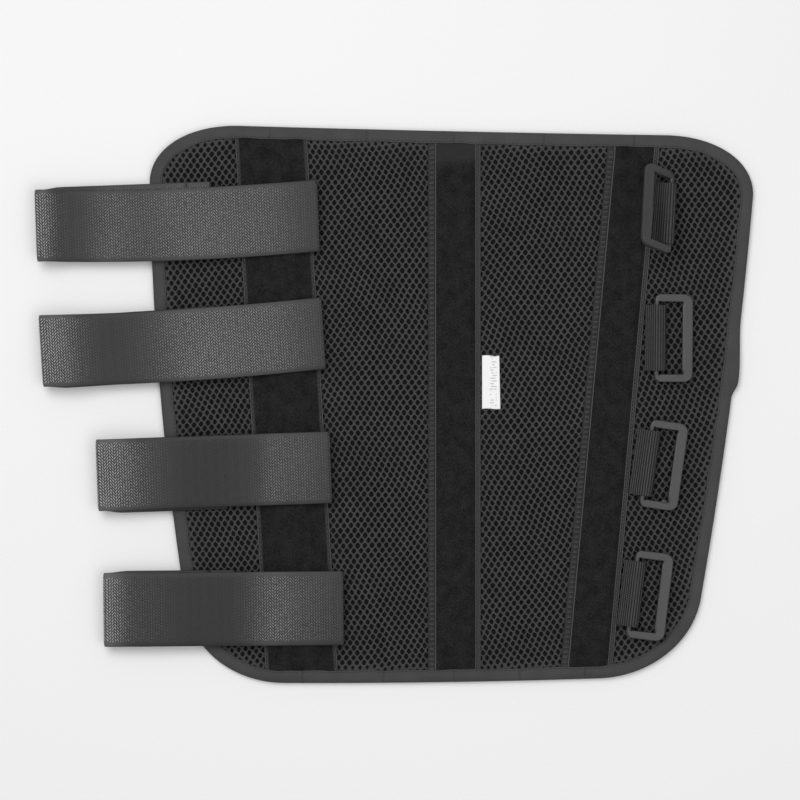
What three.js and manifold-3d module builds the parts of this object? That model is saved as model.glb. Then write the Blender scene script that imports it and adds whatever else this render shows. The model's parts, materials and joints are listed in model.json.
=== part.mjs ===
// Wrap-around leg brace, laid out flat with its outer face up: a padded panel in a folded edge binding,
// three sleeves of loop tape over metal stays, four hook straps folded back on themselves, and four ring
// buckles on webbing tabs.
//
// Millimetres. X runs from the strap side (-) to the ring side (+), Y towards the wide end, and Z out of
// the face that shows when the brace is worn. Z = 0 is the lining's skin face, and X = 0 is the centre stay.

import * as THREE from 'three';
import * as BufferGeometryUtils from 'three/addons/utils/BufferGeometryUtils.js';
import Module from 'manifold-3d';

const wasm = await Module();
wasm.setup();

// ---- Clearances ----
const LAYER_GAP = 0.1; // between layers of the panel that lie on each other
const SIDE_GAP = 0.3; // between pieces that meet edge to edge
const HINGE_GAP = 0.6; // between two sections of the panel, where it bends
const REST_GAP = 0.5; // under a piece that rests on another and lifts off it

// ---- Panel ----
const HALF_LENGTH = 196; // origin to the long edge's ends, along Y
const TOP_LEFT = 216.5; // where the four edges would meet if the corners weren't round
const TOP_RIGHT = 214.5;
const BOTTOM_LEFT = 183;
const BOTTOM_RIGHT = 165.5;
const TOP_DROP = 9.5; // the wide end's right corner is lower than its left corner
const BOTTOM_RISE = 5; // the narrow end's right corner is higher than its left corner
const LEFT_BOW = 5; // the left edge bows out by this much
const RIGHT_BOW = 3;
const BOTTOM_BOW = 1;
const TOP_DIP = 0.5; // the wide end's edge sags between its corners
const CORNER_ALONG = 66; // a round corner's reach along the ends
const CORNER_UP = 58; // a round corner's reach up the sides at the narrow end
const CORNER_DOWN = 44; // a round corner's reach down the sides at the wide end
const CORNER_FULLNESS = 0.57; // 0 is a straight chamfer, 1 a square corner
const CURVE_STEPS = 12;

// ---- Panel layers ----
const LINING_THICKNESS = 0.9;
const CORE_THICKNESS = 2.8;
const COVER_THICKNESS = 1.3;

// ---- Edge binding ----
const BINDING_WALL = 0.9;
const BINDING_LIP = 9; // how far it reaches onto each face
const BINDING_PROUD = 0.2; // its outer lip stands above the cover
const LAP_Y = 14; // where the binding's ends overlap, on the right edge
const LAP_OUT = 3.5; // how far the overlap sticks out
const LAP_LENGTH = 32;

// ---- Stay sleeves: centre line's X at Y = 0, its lean towards +X at the wide end, and the tape's width ----
const SLEEVES = {
  left: { x: -117.2, lean: -3.3, width: 50 },
  centre: { x: 0, lean: 0, width: 36.5 },
  right: { x: 109, lean: 5.16, width: 36 },
};
const SLEEVE_TAPE = 1.2;
const SLEEVE_CROWN = 0.4;
const SLEEVE_SLOPE = 3; // width of the slope from the tape's flat edge up to the stay
const STAY_WIDTH = 20;
const STAY_THICKNESS = 2;
const STAY_END_MARGIN = 16; // from the sleeve's end to the stay's end
const POCKET_CLEARANCE = 0.4;

// ---- Lines that the panel bends on ----
const INNER_BEND = 0.27; // share of the gap between two sleeves, from the centre sleeve
const OUTER_BEND = 0.73;
const FLAP_BEND = 20; // from an outer sleeve's outer edge

// ---- Hook straps: the fold's middle, the free end's X, the tilt and how far the lower run is offset ----
const STRAP_WIDTH = 50;
const STRAP_THICKNESS = 2;
const FOLD_RADIUS = 3;
const STRAPS = [
  { foldX: -291.5, foldY: 124.2, endX: -94.5, tilt: 2.1, lowerShift: 1.6 },
  { foldX: -288, foldY: 36.8, endX: -91, tilt: 3.7, lowerShift: -1.6 },
  { foldX: -248.9, foldY: -49.7, endX: -85.9, tilt: 2, lowerShift: -1.8 },
  { foldX: -244.3, foldY: -143.5, endX: -77, tilt: 0.5, lowerShift: 1.2 },
];

// ---- Ring buckles ----
// Each ring's middle when it lies to the right, its lean towards +X at the wide end, how far it is turned
// over its bar from there, and the twist of its tab, which lifts the bar's end nearer the narrow end.
const RING_LENGTH = 61.5;
const RING_WIDTH = 28;
const RING_THICKNESS = 3.6;
const RING_SLOT_LENGTH = 50.5;
const RING_OUTER_BAR = 7.5;
const RING_CORNER = 5;
const RING_SLOT_CORNER = 1.5;
const RING_BAR_RADIUS = 1.9;
const RING_BAR_INSET = 2.75; // from the ring's edge to its round bar's middle
const RINGS = [
  { x: 161.2, y: 131.6, lean: 4.5, turn: 142, twist: 20 },
  { x: 152.4, y: 46, lean: 0.5, turn: 0, twist: 0 },
  { x: 145.6, y: -42.7, lean: 8, turn: 0, twist: 0 },
  { x: 135.8, y: -133.7, lean: 7, turn: 0, twist: 0 },
];

// ---- Webbing tabs ----
const TAB_WIDTH = 46;
const TAB_THICKNESS = 1.6;
const TAB_LOOP_HALF_WIDTH = 5.8;
const TAB_LOOP_SHIFT = 0.9; // the loop's middle is past the ring's bar
const TAB_ROOT_CLEARANCE = 1.8; // from the sleeve's edge, so that the root can turn

// ---- Label ----
const LABEL_LENGTH = 37.5;
const LABEL_WIDTH = 12;
const LABEL_THICKNESS = 0.4;
const LABEL_Y = 15.2;
const LABEL_EDGE_GAP = 1.2;

// ---- Heights that follow from the sizes above ----
const CORE_BOTTOM = LINING_THICKNESS + LAYER_GAP;
const COVER_BOTTOM = CORE_BOTTOM + CORE_THICKNESS + LAYER_GAP;
const COVER_TOP = COVER_BOTTOM + COVER_THICKNESS;
const BINDING_TOP = COVER_TOP + BINDING_PROUD;
const SLEEVE_BOTTOM = COVER_TOP + LAYER_GAP;
const STAY_BOTTOM = SLEEVE_BOTTOM + POCKET_CLEARANCE;
const POCKET_TOP = STAY_BOTTOM + STAY_THICKNESS + POCKET_CLEARANCE;
const SLEEVE_TOP = POCKET_TOP + SLEEVE_TAPE + SLEEVE_CROWN;
const STRAP_LOWER_BOTTOM = BINDING_TOP + SIDE_GAP;
const STRAP_UPPER_BOTTOM = SLEEVE_TOP + REST_GAP;
const TAB_BOTTOM = COVER_TOP + SIDE_GAP;
const TAB_LOOP_HALF_HEIGHT = RING_BAR_RADIUS + POCKET_CLEARANCE + TAB_THICKNESS;
const RING_MIDDLE = TAB_BOTTOM + TAB_LOOP_HALF_HEIGHT;
const LABEL_BOTTOM = COVER_TOP + LAYER_GAP;
const FAR = 500; // further than any piece reaches

// ---- Materials ----
const FINISHES = {
  lining: { color: 0x3a3b3d, roughness: 0.95 },
  core: { color: 0x2b2b2c, roughness: 0.95 },
  cover: { color: 0x414244, roughness: 0.92 },
  binding: { color: 0x4d4e50, roughness: 0.75 },
  pile: { color: 0x252628, roughness: 0.98 },
  stay: { color: 0xb9bcc0, roughness: 0.35, metalness: 1 },
  hook: { color: 0x55575a, roughness: 0.7 },
  webbing: { color: 0x47494b, roughness: 0.85 },
  ring: { color: 0x606265, roughness: 0.45 },
  label: { color: 0xe9eaec, roughness: 0.8 },
};

const brace = new THREE.Group();

/** Adds a solid to the brace as a mesh of its own, with its own material. */
function addPiece(name, solid, finish) {
  const { vertProperties, triVerts } = solid.getMesh();
  const geometry = new THREE.BufferGeometry();
  geometry.setAttribute('position', new THREE.BufferAttribute(vertProperties, 3));
  geometry.setIndex(new THREE.BufferAttribute(triVerts, 1));
  const material = new THREE.MeshStandardMaterial({ metalness: 0, ...FINISHES[finish] });
  const mesh = new THREE.Mesh(geometry, material);
  mesh.name = name;
  brace.add(mesh);
}

/** Turns a closed geometry into a solid that can be joined and cut. */
function toSolid(geometry) {
  const bare = geometry.index ? geometry : geometry.clone();
  bare.deleteAttribute('normal');
  bare.deleteAttribute('uv');
  const merged = BufferGeometryUtils.mergeVertices(bare, 1e-4);
  return new wasm.Manifold(new wasm.Mesh({
    numProp: 3,
    vertProperties: new Float32Array(merged.attributes.position.array),
    triVerts: new Uint32Array(merged.index.array),
  }));
}

/** Extrudes an outline in the XY plane between two heights. */
function prism(outline, bottom, top) {
  const shape = outline instanceof THREE.Shape ? outline : new THREE.Shape(outline);
  const options = { depth: top - bottom, bevelEnabled: false, curveSegments: CURVE_STEPS };
  return toSolid(new THREE.ExtrudeGeometry(shape, options).translate(0, 0, bottom));
}

/** Extrudes a cross-section along a straight line on the panel. The section's x is across, its y is up. */
function runAlong(section, from, to) {
  const along = new THREE.Vector3(to.x - from.x, to.y - from.y, 0);
  const depth = along.length();
  along.normalize();
  const up = new THREE.Vector3(0, 0, 1);
  const across = new THREE.Vector3().crossVectors(up, along);
  const geometry = new THREE.ExtrudeGeometry(section, { depth, bevelEnabled: false, curveSegments: CURVE_STEPS });
  geometry.applyMatrix4(new THREE.Matrix4().makeBasis(across, up, along).setPosition(from.x, from.y, 0));
  return toSolid(geometry);
}

/** A rectangle as a shape, from its low and high corners. */
function rectangle(x0, y0, x1, y1) {
  return new THREE.Shape([[x0, y0], [x1, y0], [x1, y1], [x0, y1]].map(([x, y]) => new THREE.Vector2(x, y)));
}

/** A rectangle with quarter-round corners. */
function roundedRectangle(x0, y0, x1, y1, radius, Kind = THREE.Shape) {
  const shape = new Kind();
  shape.absarc(x1 - radius, y1 - radius, radius, 0, Math.PI / 2);
  shape.absarc(x0 + radius, y1 - radius, radius, Math.PI / 2, Math.PI);
  shape.absarc(x0 + radius, y0 + radius, radius, Math.PI, 1.5 * Math.PI);
  shape.absarc(x1 - radius, y0 + radius, radius, 1.5 * Math.PI, 2 * Math.PI);
  return shape;
}

// ---- The panel's outline ----

/** Rounds the corner between two points, one on each edge. */
function roundCorner(path, start, corner, end) {
  const first = start.clone().lerp(corner, CORNER_FULLNESS);
  const second = end.clone().lerp(corner, CORNER_FULLNESS);
  path.bezierCurveTo(first.x, first.y, second.x, second.y, end.x, end.y);
}

/** Draws an edge that bows sideways by a distance, measured at its middle and to the right of its way. */
function bowTo(path, start, end, bow) {
  const middle = start.clone().lerp(end, 0.5);
  const way = end.clone().sub(start).normalize();
  path.quadraticCurveTo(middle.x + 2 * bow * way.y, middle.y - 2 * bow * way.x, end.x, end.y);
}

/** The point on the edge from one corner to the next that is a distance from the first. */
function onEdge(corner, next, distance) {
  return corner.clone().lerp(next, distance / corner.distanceTo(next));
}

/** The panel's outer edge, anticlockwise. */
function panelOutline() {
  const topLeft = new THREE.Vector2(-TOP_LEFT, HALF_LENGTH);
  const bottomLeft = new THREE.Vector2(-BOTTOM_LEFT, -HALF_LENGTH);
  const bottomRight = new THREE.Vector2(BOTTOM_RIGHT, -HALF_LENGTH + BOTTOM_RISE);
  const topRight = new THREE.Vector2(TOP_RIGHT, HALF_LENGTH - TOP_DROP);

  const path = new THREE.Path();
  const start = onEdge(topLeft, topRight, CORNER_ALONG);
  path.moveTo(start.x, start.y);
  const leftHigh = onEdge(topLeft, bottomLeft, CORNER_DOWN);
  const leftLow = onEdge(bottomLeft, topLeft, CORNER_UP);
  roundCorner(path, start, topLeft, leftHigh);
  bowTo(path, leftHigh, leftLow, LEFT_BOW);
  const endLeft = onEdge(bottomLeft, bottomRight, CORNER_ALONG);
  roundCorner(path, leftLow, bottomLeft, endLeft);
  const endRight = onEdge(bottomRight, bottomLeft, CORNER_ALONG);
  bowTo(path, endLeft, endRight, BOTTOM_BOW);
  const rightLow = onEdge(bottomRight, topRight, CORNER_UP);
  const rightHigh = onEdge(topRight, bottomRight, CORNER_DOWN);
  roundCorner(path, endRight, bottomRight, rightLow);
  bowTo(path, rightLow, rightHigh, RIGHT_BOW);
  const topEnd = onEdge(topRight, topLeft, CORNER_ALONG);
  roundCorner(path, rightHigh, topRight, topEnd);
  bowTo(path, topEnd, start, -TOP_DIP);

  const points = path.getPoints(CURVE_STEPS);
  return points.filter((point, i) => point.distanceTo(points[(i + 1) % points.length]) > 0.01);
}

/** Moves each point of an anticlockwise outline inwards, so that every edge moves by the same distance. */
function inset(outline, distance) {
  return outline.map((point, i) => {
    const before = point.clone().sub(outline.at(i - 1)).normalize();
    const after = outline[(i + 1) % outline.length].clone().sub(point).normalize();
    const inwards = new THREE.Vector2(-before.y - after.y, before.x + after.x);
    return point.clone().addScaledVector(inwards, distance / (1 + before.dot(after)));
  });
}

const OUTLINE = panelOutline();
const FACE_OUTLINE = inset(OUTLINE, BINDING_LIP + SIDE_GAP); // what shows inside the binding
const CORE_OUTLINE = inset(OUTLINE, BINDING_WALL + SIDE_GAP);

// ---- Straight lines across the panel, each given by its X at Y = 0 and its slope dX/dY ----

/** The line that a sleeve's middle follows, shifted sideways. */
function sleeveLine(sleeve, shift = 0) {
  const lean = THREE.MathUtils.degToRad(sleeve.lean);
  return { x: sleeve.x + shift / Math.cos(lean), slope: Math.tan(lean) };
}

/** A line part of the way from one line to another. */
function lineBetween(a, b, share) {
  return { x: a.x + (b.x - a.x) * share, slope: a.slope + (b.slope - a.slope) * share };
}

/** A line's point at a height on the panel. */
function pointOn(line, y, shift = 0) {
  return new THREE.Vector2(line.x + line.slope * y + shift, y);
}

const halfWidth = (sleeve) => sleeve.width / 2;
const leftInner = sleeveLine(SLEEVES.left, halfWidth(SLEEVES.left));
const rightInner = sleeveLine(SLEEVES.right, -halfWidth(SLEEVES.right));
const rightOuter = sleeveLine(SLEEVES.right, halfWidth(SLEEVES.right));
const centreLeft = sleeveLine(SLEEVES.centre, -halfWidth(SLEEVES.centre));
const centreRight = sleeveLine(SLEEVES.centre, halfWidth(SLEEVES.centre));
const BENDS = [
  sleeveLine(SLEEVES.left, -halfWidth(SLEEVES.left) - FLAP_BEND),
  lineBetween(centreLeft, leftInner, OUTER_BEND),
  lineBetween(centreLeft, leftInner, INNER_BEND),
  lineBetween(centreRight, rightInner, INNER_BEND),
  lineBetween(centreRight, rightInner, OUTER_BEND),
  sleeveLine(SLEEVES.right, halfWidth(SLEEVES.right) + FLAP_BEND),
];
const SECTIONS = ['left_flap', 'left_side', 'left_mid', 'centre', 'right_mid', 'right_side', 'right_flap'];

/** The space that one section of the panel may fill, between the bends on its two sides. */
function sectionSpace(index) {
  const left = BENDS[index - 1] ?? { x: -FAR, slope: 0 };
  const right = BENDS[index] ?? { x: FAR, slope: 0 };
  return prism([
    pointOn(left, -FAR, HINGE_GAP / 2),
    pointOn(right, -FAR, -HINGE_GAP / 2),
    pointOn(right, FAR, -HINGE_GAP / 2),
    pointOn(left, FAR, HINGE_GAP / 2),
  ], -FAR, FAR);
}

/** The half of space above or below the panel's middle. */
function halfSpace(end) {
  const half = end === 'top' ? rectangle(-FAR, 0, FAR, FAR) : rectangle(-FAR, -FAR, FAR, 0);
  return prism(half, -FAR, FAR);
}

/** The swelling in the binding where its two ends overlap, on the right edge. */
function lapSolid() {
  const index = OUTLINE.findIndex((point, i) => point.x > 0 && point.y <= LAP_Y && OUTLINE[i + 1].y > LAP_Y);
  const low = OUTLINE[index];
  const high = OUTLINE[index + 1];
  const middle = low.clone().lerp(high, (LAP_Y - low.y) / (high.y - low.y));
  const swelling = new THREE.Shape();
  swelling.absellipse(
    middle.x, middle.y, LAP_LENGTH / 2, LAP_OUT, 0, 2 * Math.PI, false, Math.atan2(high.y - low.y, high.x - low.x));
  return prism(swelling, 0, BINDING_TOP);
}

/** Adds the panel's layers and its binding, section by section. */
function addPanel() {
  const lining = prism(FACE_OUTLINE, 0, LINING_THICKNESS);
  const core = prism(CORE_OUTLINE, CORE_BOTTOM, CORE_BOTTOM + CORE_THICKNESS);
  const cover = prism(FACE_OUTLINE, COVER_BOTTOM, COVER_TOP);
  const channel = prism(inset(OUTLINE, BINDING_WALL), LINING_THICKNESS, COVER_BOTTOM);
  const window = prism(inset(OUTLINE, BINDING_LIP), -1, BINDING_TOP + 1);
  const binding = prism(OUTLINE, 0, BINDING_TOP).add(lapSolid()).subtract(channel).subtract(window);

  SECTIONS.forEach((section, index) => {
    const space = sectionSpace(index);
    addPiece(`lining_${section}`, lining.intersect(space), 'lining');
    addPiece(`core_${section}`, core.intersect(space), 'core');
    addPiece(`cover_${section}`, cover.intersect(space), 'cover');
    const lengths = section.endsWith('flap') ? [''] : ['_top', '_bottom'];
    lengths.forEach((end) => {
      const length = binding.intersect(space);
      const piece = end ? length.intersect(halfSpace(end.slice(1))) : length;
      addPiece(`binding_${section}${end}`, piece, 'binding');
    });
  });
}

/** A sleeve's cross-section: a tape with flat edges that rises over the stay. */
function sleeveSection(width) {
  const rise = STAY_WIDTH / 2 + POCKET_CLEARANCE + SLEEVE_TAPE;
  const flat = SLEEVE_BOTTOM + SLEEVE_TAPE;
  const shoulder = POCKET_TOP + SLEEVE_TAPE;
  const section = new THREE.Shape();
  section.moveTo(-width / 2, SLEEVE_BOTTOM);
  section.lineTo(width / 2, SLEEVE_BOTTOM);
  section.lineTo(width / 2, flat);
  section.lineTo(rise + SLEEVE_SLOPE, flat);
  section.lineTo(rise, shoulder);
  section.quadraticCurveTo(0, shoulder + 2 * SLEEVE_CROWN, -rise, shoulder);
  section.lineTo(-rise - SLEEVE_SLOPE, flat);
  section.lineTo(-width / 2, flat);
  return section;
}

/** Adds a sleeve, trimmed to the binding, and the stay in its pocket. */
function addSleeve(name, sleeve) {
  const line = sleeveLine(sleeve);
  const end = HALF_LENGTH - BINDING_LIP - SIDE_GAP;
  const body = runAlong(sleeveSection(sleeve.width), pointOn(line, FAR), pointOn(line, -FAR));
  const stayEnd = end - STAY_END_MARGIN;
  const stay = rectangle(-STAY_WIDTH / 2, STAY_BOTTOM, STAY_WIDTH / 2, STAY_BOTTOM + STAY_THICKNESS);
  const half = STAY_WIDTH / 2 + POCKET_CLEARANCE;
  const pocket = rectangle(-half, SLEEVE_BOTTOM - 1, half, POCKET_TOP);
  const pocketEnd = stayEnd + POCKET_CLEARANCE;
  const hollow = runAlong(pocket, pointOn(line, pocketEnd), pointOn(line, -pocketEnd));
  const face = prism(FACE_OUTLINE, -FAR, FAR);
  addPiece(`sleeve_${name}`, body.intersect(face).subtract(hollow), 'pile');
  addPiece(`stay_${name}`, runAlong(stay, pointOn(line, stayEnd), pointOn(line, -stayEnd)), 'stay');
}

/** Adds a hook strap's lower run on the flap and its upper run, which turns about the fold. */
function addStrap(number, strap) {
  const tilt = THREE.MathUtils.degToRad(strap.tilt);
  const way = new THREE.Vector2(Math.cos(tilt), Math.sin(tilt));
  const sideways = new THREE.Vector2(-way.y, way.x);
  const fold = new THREE.Vector2(strap.foldX, strap.foldY).addScaledVector(way, FOLD_RADIUS + SIDE_GAP);
  const freeEnd = fold.clone().addScaledVector(way, (strap.endX - fold.x) / way.x);
  const half = STRAP_WIDTH / 2;

  const lowerSection = rectangle(-half, STRAP_LOWER_BOTTOM, half, STRAP_LOWER_BOTTOM + STRAP_THICKNESS);
  const lowerStart = fold.clone().addScaledVector(sideways, strap.lowerShift);
  const lowerEnd = freeEnd.clone().addScaledVector(sideways, strap.lowerShift);
  const lower = runAlong(lowerSection, lowerStart, lowerEnd).intersect(sectionSpace(0));
  addPiece(`strap_${number}_lower`, lower, 'hook');

  const upperSection = rectangle(-half, STRAP_UPPER_BOTTOM, half, STRAP_UPPER_BOTTOM + STRAP_THICKNESS);
  addPiece(`strap_${number}_upper`, runAlong(upperSection, fold, freeEnd), 'hook');
}

/** A ring, lying flat, with its round bar on the Y axis and the rest of it towards +X. */
function ringSolid() {
  const left = -RING_BAR_INSET;
  const right = RING_WIDTH - RING_BAR_INSET;
  const halfLength = RING_LENGTH / 2;
  const halfSlot = RING_SLOT_LENGTH / 2;
  const frame = roundedRectangle(left, -halfLength, right, halfLength, RING_CORNER);
  const plate = prism(frame, -RING_THICKNESS / 2, RING_THICKNESS / 2);
  const slot = roundedRectangle(left - 10, -halfSlot, right - RING_OUTER_BAR, halfSlot, RING_SLOT_CORNER);
  const open = plate.subtract(prism(slot, -RING_THICKNESS, RING_THICKNESS));
  const bar = new THREE.CylinderGeometry(RING_BAR_RADIUS, RING_BAR_RADIUS, RING_SLOT_LENGTH + 2, 20);
  bar.rotateY(Math.PI / 20);
  return open.add(toSolid(bar));
}

/** The place of a ring's bar, lifted so that a twisted one clears the binding, and the turn of its tab. */
function ringPlace(ring) {
  const middleToBar = RING_WIDTH / 2 - RING_BAR_INSET;
  const lean = THREE.MathUtils.degToRad(-ring.lean);
  const twist = THREE.MathUtils.degToRad(-ring.twist);
  const drop = RING_LENGTH / 2 * Math.abs(Math.sin(twist)) + RING_THICKNESS / 2 + SIDE_GAP;
  const height = Math.max(RING_MIDDLE, BINDING_TOP + drop);
  const x = ring.x - middleToBar * Math.cos(lean);
  const y = ring.y - middleToBar * Math.sin(lean);
  return new THREE.Matrix4().makeRotationZ(lean)
    .multiply(new THREE.Matrix4().makeRotationX(twist)).setPosition(x, y, height);
}

/** How far the sleeve's edge is from a ring's bar, at the nearest corner of the tab, in the tab's own frame. */
function tabReach(place) {
  const back = place.clone().invert();
  const edgeAt = (localY) => {
    const corner = new THREE.Vector3(0, localY, 0).applyMatrix4(place);
    const edge = pointOn(rightOuter, corner.y);
    return new THREE.Vector3(edge.x, edge.y, corner.z).applyMatrix4(back).x;
  };
  return Math.max(edgeAt(-TAB_WIDTH / 2), edgeAt(TAB_WIDTH / 2)) + TAB_ROOT_CLEARANCE;
}

/** A webbing tab in its ring's frame: two plies sewn together at the root, open round the ring's bar. */
function tabSolid(root) {
  const halfHeight = TAB_LOOP_HALF_HEIGHT;
  const outline = new THREE.Shape();
  outline.moveTo(root, -halfHeight);
  outline.lineTo(TAB_LOOP_SHIFT, -halfHeight);
  outline.absellipse(TAB_LOOP_SHIFT, 0, TAB_LOOP_HALF_WIDTH, halfHeight, -Math.PI / 2, Math.PI / 2);
  outline.lineTo(root, -halfHeight + 2 * TAB_THICKNESS);
  outline.closePath();
  const eye = new THREE.Path();
  eye.absellipse(
    TAB_LOOP_SHIFT, 0, TAB_LOOP_HALF_WIDTH - TAB_THICKNESS, halfHeight - TAB_THICKNESS, 0, 2 * Math.PI);
  outline.holes.push(eye);
  return runAlong(outline, new THREE.Vector2(0, TAB_WIDTH / 2), new THREE.Vector2(0, -TAB_WIDTH / 2));
}

/** Adds a webbing tab and the ring that hangs in it. */
function addBuckle(number, ring) {
  const place = ringPlace(ring);
  const turnOver = new THREE.Matrix4().makeRotationY(-THREE.MathUtils.degToRad(ring.turn));
  addPiece(`tab_${number}`, tabSolid(tabReach(place)).transform(place.elements), 'webbing');
  addPiece(`ring_${number}`, ringSolid().transform(place.clone().multiply(turnOver).elements), 'ring');
}

/** Adds the label, which is sewn beside the centre sleeve. */
function addLabel() {
  const x = pointOn(centreRight, LABEL_Y).x + LABEL_EDGE_GAP;
  const shape = rectangle(x, LABEL_Y - LABEL_LENGTH / 2, x + LABEL_WIDTH, LABEL_Y + LABEL_LENGTH / 2);
  addPiece('label', prism(shape, LABEL_BOTTOM, LABEL_BOTTOM + LABEL_THICKNESS), 'label');
}

addPanel();
Object.entries(SLEEVES).forEach(([name, sleeve]) => addSleeve(name, sleeve));
STRAPS.forEach((strap, i) => addStrap(i + 1, strap));
RINGS.forEach((ring, i) => addBuckle(i + 1, ring));
addLabel();

export default brace;
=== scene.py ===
"""Looks of a wrap-around leg brace that lies flat, outer face up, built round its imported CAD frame.

Sizes are in millimetres and become metres in make_piece(). X runs from the strap side (-) to the ring side
(+), Y towards the wide end and Z out of the face that shows when the brace is worn, from the skin face at 0.
"""

import json
import logging
import math
from dataclasses import dataclass, field
from enum import Enum

import bpy
import numpy as np
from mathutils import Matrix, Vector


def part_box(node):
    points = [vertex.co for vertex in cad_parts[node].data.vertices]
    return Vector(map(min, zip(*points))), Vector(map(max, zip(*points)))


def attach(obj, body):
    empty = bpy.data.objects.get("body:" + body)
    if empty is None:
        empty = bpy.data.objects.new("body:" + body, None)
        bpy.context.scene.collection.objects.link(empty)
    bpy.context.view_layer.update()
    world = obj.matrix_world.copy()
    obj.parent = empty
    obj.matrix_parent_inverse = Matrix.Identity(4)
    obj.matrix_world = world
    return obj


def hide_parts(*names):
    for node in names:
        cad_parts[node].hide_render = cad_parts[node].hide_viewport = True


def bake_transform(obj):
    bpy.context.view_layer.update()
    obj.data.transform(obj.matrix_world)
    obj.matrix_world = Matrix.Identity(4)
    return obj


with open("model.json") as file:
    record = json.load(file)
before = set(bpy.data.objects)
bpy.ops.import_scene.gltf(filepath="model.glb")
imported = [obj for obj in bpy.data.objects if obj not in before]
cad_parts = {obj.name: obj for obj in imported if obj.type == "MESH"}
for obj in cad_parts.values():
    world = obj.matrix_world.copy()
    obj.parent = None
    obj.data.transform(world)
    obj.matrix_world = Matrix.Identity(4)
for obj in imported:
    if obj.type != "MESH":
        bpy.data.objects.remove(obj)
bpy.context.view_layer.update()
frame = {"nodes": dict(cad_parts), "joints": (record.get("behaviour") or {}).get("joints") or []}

MM = 0.001
LOG = logging.getLogger("brace")
Array = np.ndarray
Piece = bpy.types.Object
Socket = bpy.types.NodeSocket
Tree = bpy.types.NodeTree


# ---- Numbers and shapes ----


def ease(share: Array | float) -> Array:
    """Goes smoothly from 0 to 1: 3 s^2 - 2 s^3, with s held between 0 and 1."""
    held = np.clip(share, 0.0, 1.0)
    return held * held * (3.0 - 2.0 * held)


def swell(along: Array, centre: float, reach: float) -> Array:
    """A soft hump of height 1: exp of minus the squared distance from its centre over its reach."""
    return np.exp(-(((along - centre) / reach) ** 2))


def table(*columns: Array | float) -> Array:
    """Puts coordinates of any shapes that fit each other side by side on a last axis."""
    return np.stack(np.broadcast_arrays(*columns), axis=-1).astype(float)


def grid_quads(rows: int, columns: int, ring_rows: bool = False, ring_columns: bool = False) -> Array:
    """Faces of a grid of points numbered row by row.

    Args:
        rows: number of rows of points.
        columns: number of points in a row.
        ring_rows: whether the last row joins the first.
        ring_columns: whether the last column joins the first.

    Returns:
        One row of four point numbers for each face, turning from the columns' way to the rows' way.
    """
    row = np.arange(rows if ring_rows else rows - 1)[:, None]
    column = np.arange(columns if ring_columns else columns - 1)[None, :]
    next_row, next_column = (row + 1) % rows, (column + 1) % columns
    corners = ((row, column), (row, next_column), (next_row, next_column), (next_row, column))
    return np.stack([r * columns + c for r, c in corners], axis=-1).reshape(-1, 4)


@dataclass
class Shell:
    """A mesh in the making: points in mm, four-sided faces, the cloth's coordinates and each face's dress.

    Attributes:
        points: one row of x, y, z for each point.
        quads: one row of four point numbers for each face.
        cloth: one row for each point, how far along and across the cloth it lies.
        flat: whether each face is shaded flat.
        finish: the number of each face's finish in its piece's list.
    """

    points: Array
    quads: Array
    cloth: Array
    flat: Array = field(default=None)
    finish: Array = field(default=None)

    def __post_init__(self) -> None:
        """Fills in smooth shading and the first finish where none is given."""
        count = len(self.quads)
        self.flat = np.zeros(count, bool) if self.flat is None else self.flat
        self.finish = np.zeros(count, int) if self.finish is None else self.finish

    def dressed(self, number: int) -> "Shell":
        """The same shell with every face in one finish of its piece's list."""
        return Shell(self.points, self.quads, self.cloth, self.flat, np.full(len(self.quads), number))


def joined(*shells: Shell) -> Shell:
    """One shell made of several that stay separate surfaces."""
    starts = np.cumsum([0] + [len(s.points) for s in shells[:-1]])
    return Shell(
        np.concatenate([s.points for s in shells]),
        np.concatenate([s.quads + start for s, start in zip(shells, starts)]),
        np.concatenate([s.cloth for s in shells]),
        np.concatenate([s.flat for s in shells]),
        np.concatenate([s.finish for s in shells]),
    )


def slab(upper: Array, lower: Array, cloth: Array) -> Shell:
    """A closed sheet between two grids of points, walled in round their rims.

    Args:
        upper: rows x columns x 3, the face that looks up; columns run to the right and rows onwards.
        lower: the same for the face that looks down.
        cloth: rows x columns x 2, the cloth's coordinates, shared by both faces.

    Returns:
        The closed shell, with the rim shaded flat.
    """
    rows, columns = upper.shape[:2]
    count = rows * columns
    number = np.arange(count).reshape(rows, columns)
    rim = np.concatenate([number[0, :-1], number[:-1, -1], number[-1, :0:-1], number[:0:-1, 0]])
    onwards = np.roll(rim, -1)
    walls = np.stack([rim + count, onwards + count, onwards, rim], axis=-1)
    top = grid_quads(rows, columns)
    quads = np.concatenate([top, top[:, ::-1] + count, walls])
    flat = np.concatenate([np.zeros(2 * len(top), bool), np.ones(len(walls), bool)])
    points = np.concatenate([upper.reshape(-1, 3), lower.reshape(-1, 3)])
    flat_cloth = cloth.reshape(-1, 2)
    return Shell(points, quads, np.concatenate([flat_cloth, flat_cloth]), flat)


def tube(rings: Array, cloth: Array, closed: bool) -> Shell:
    """A skin over a row of rings of points, either joined end to end or capped at both ends.

    Args:
        rings: rings x points x 3; each ring turns right-handedly round the way to the next one.
        cloth: rings x points x 2, the cloth's coordinates.
        closed: whether the last ring joins the first.

    Returns:
        The closed shell. A cap is a ladder of faces between a ring's two halves.
    """
    rows, columns = rings.shape[:2]
    parts = [grid_quads(rows, columns, closed, True)]
    if not closed:
        near = np.arange(columns // 2 - 1)
        far = columns - 1 - near
        cap = np.stack([near, far, far - 1, near + 1], axis=-1)
        parts += [cap, cap[:, ::-1] + (rows - 1) * columns]
    return Shell(rings.reshape(-1, 3), np.concatenate(parts), cloth.reshape(-1, 2))


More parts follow.
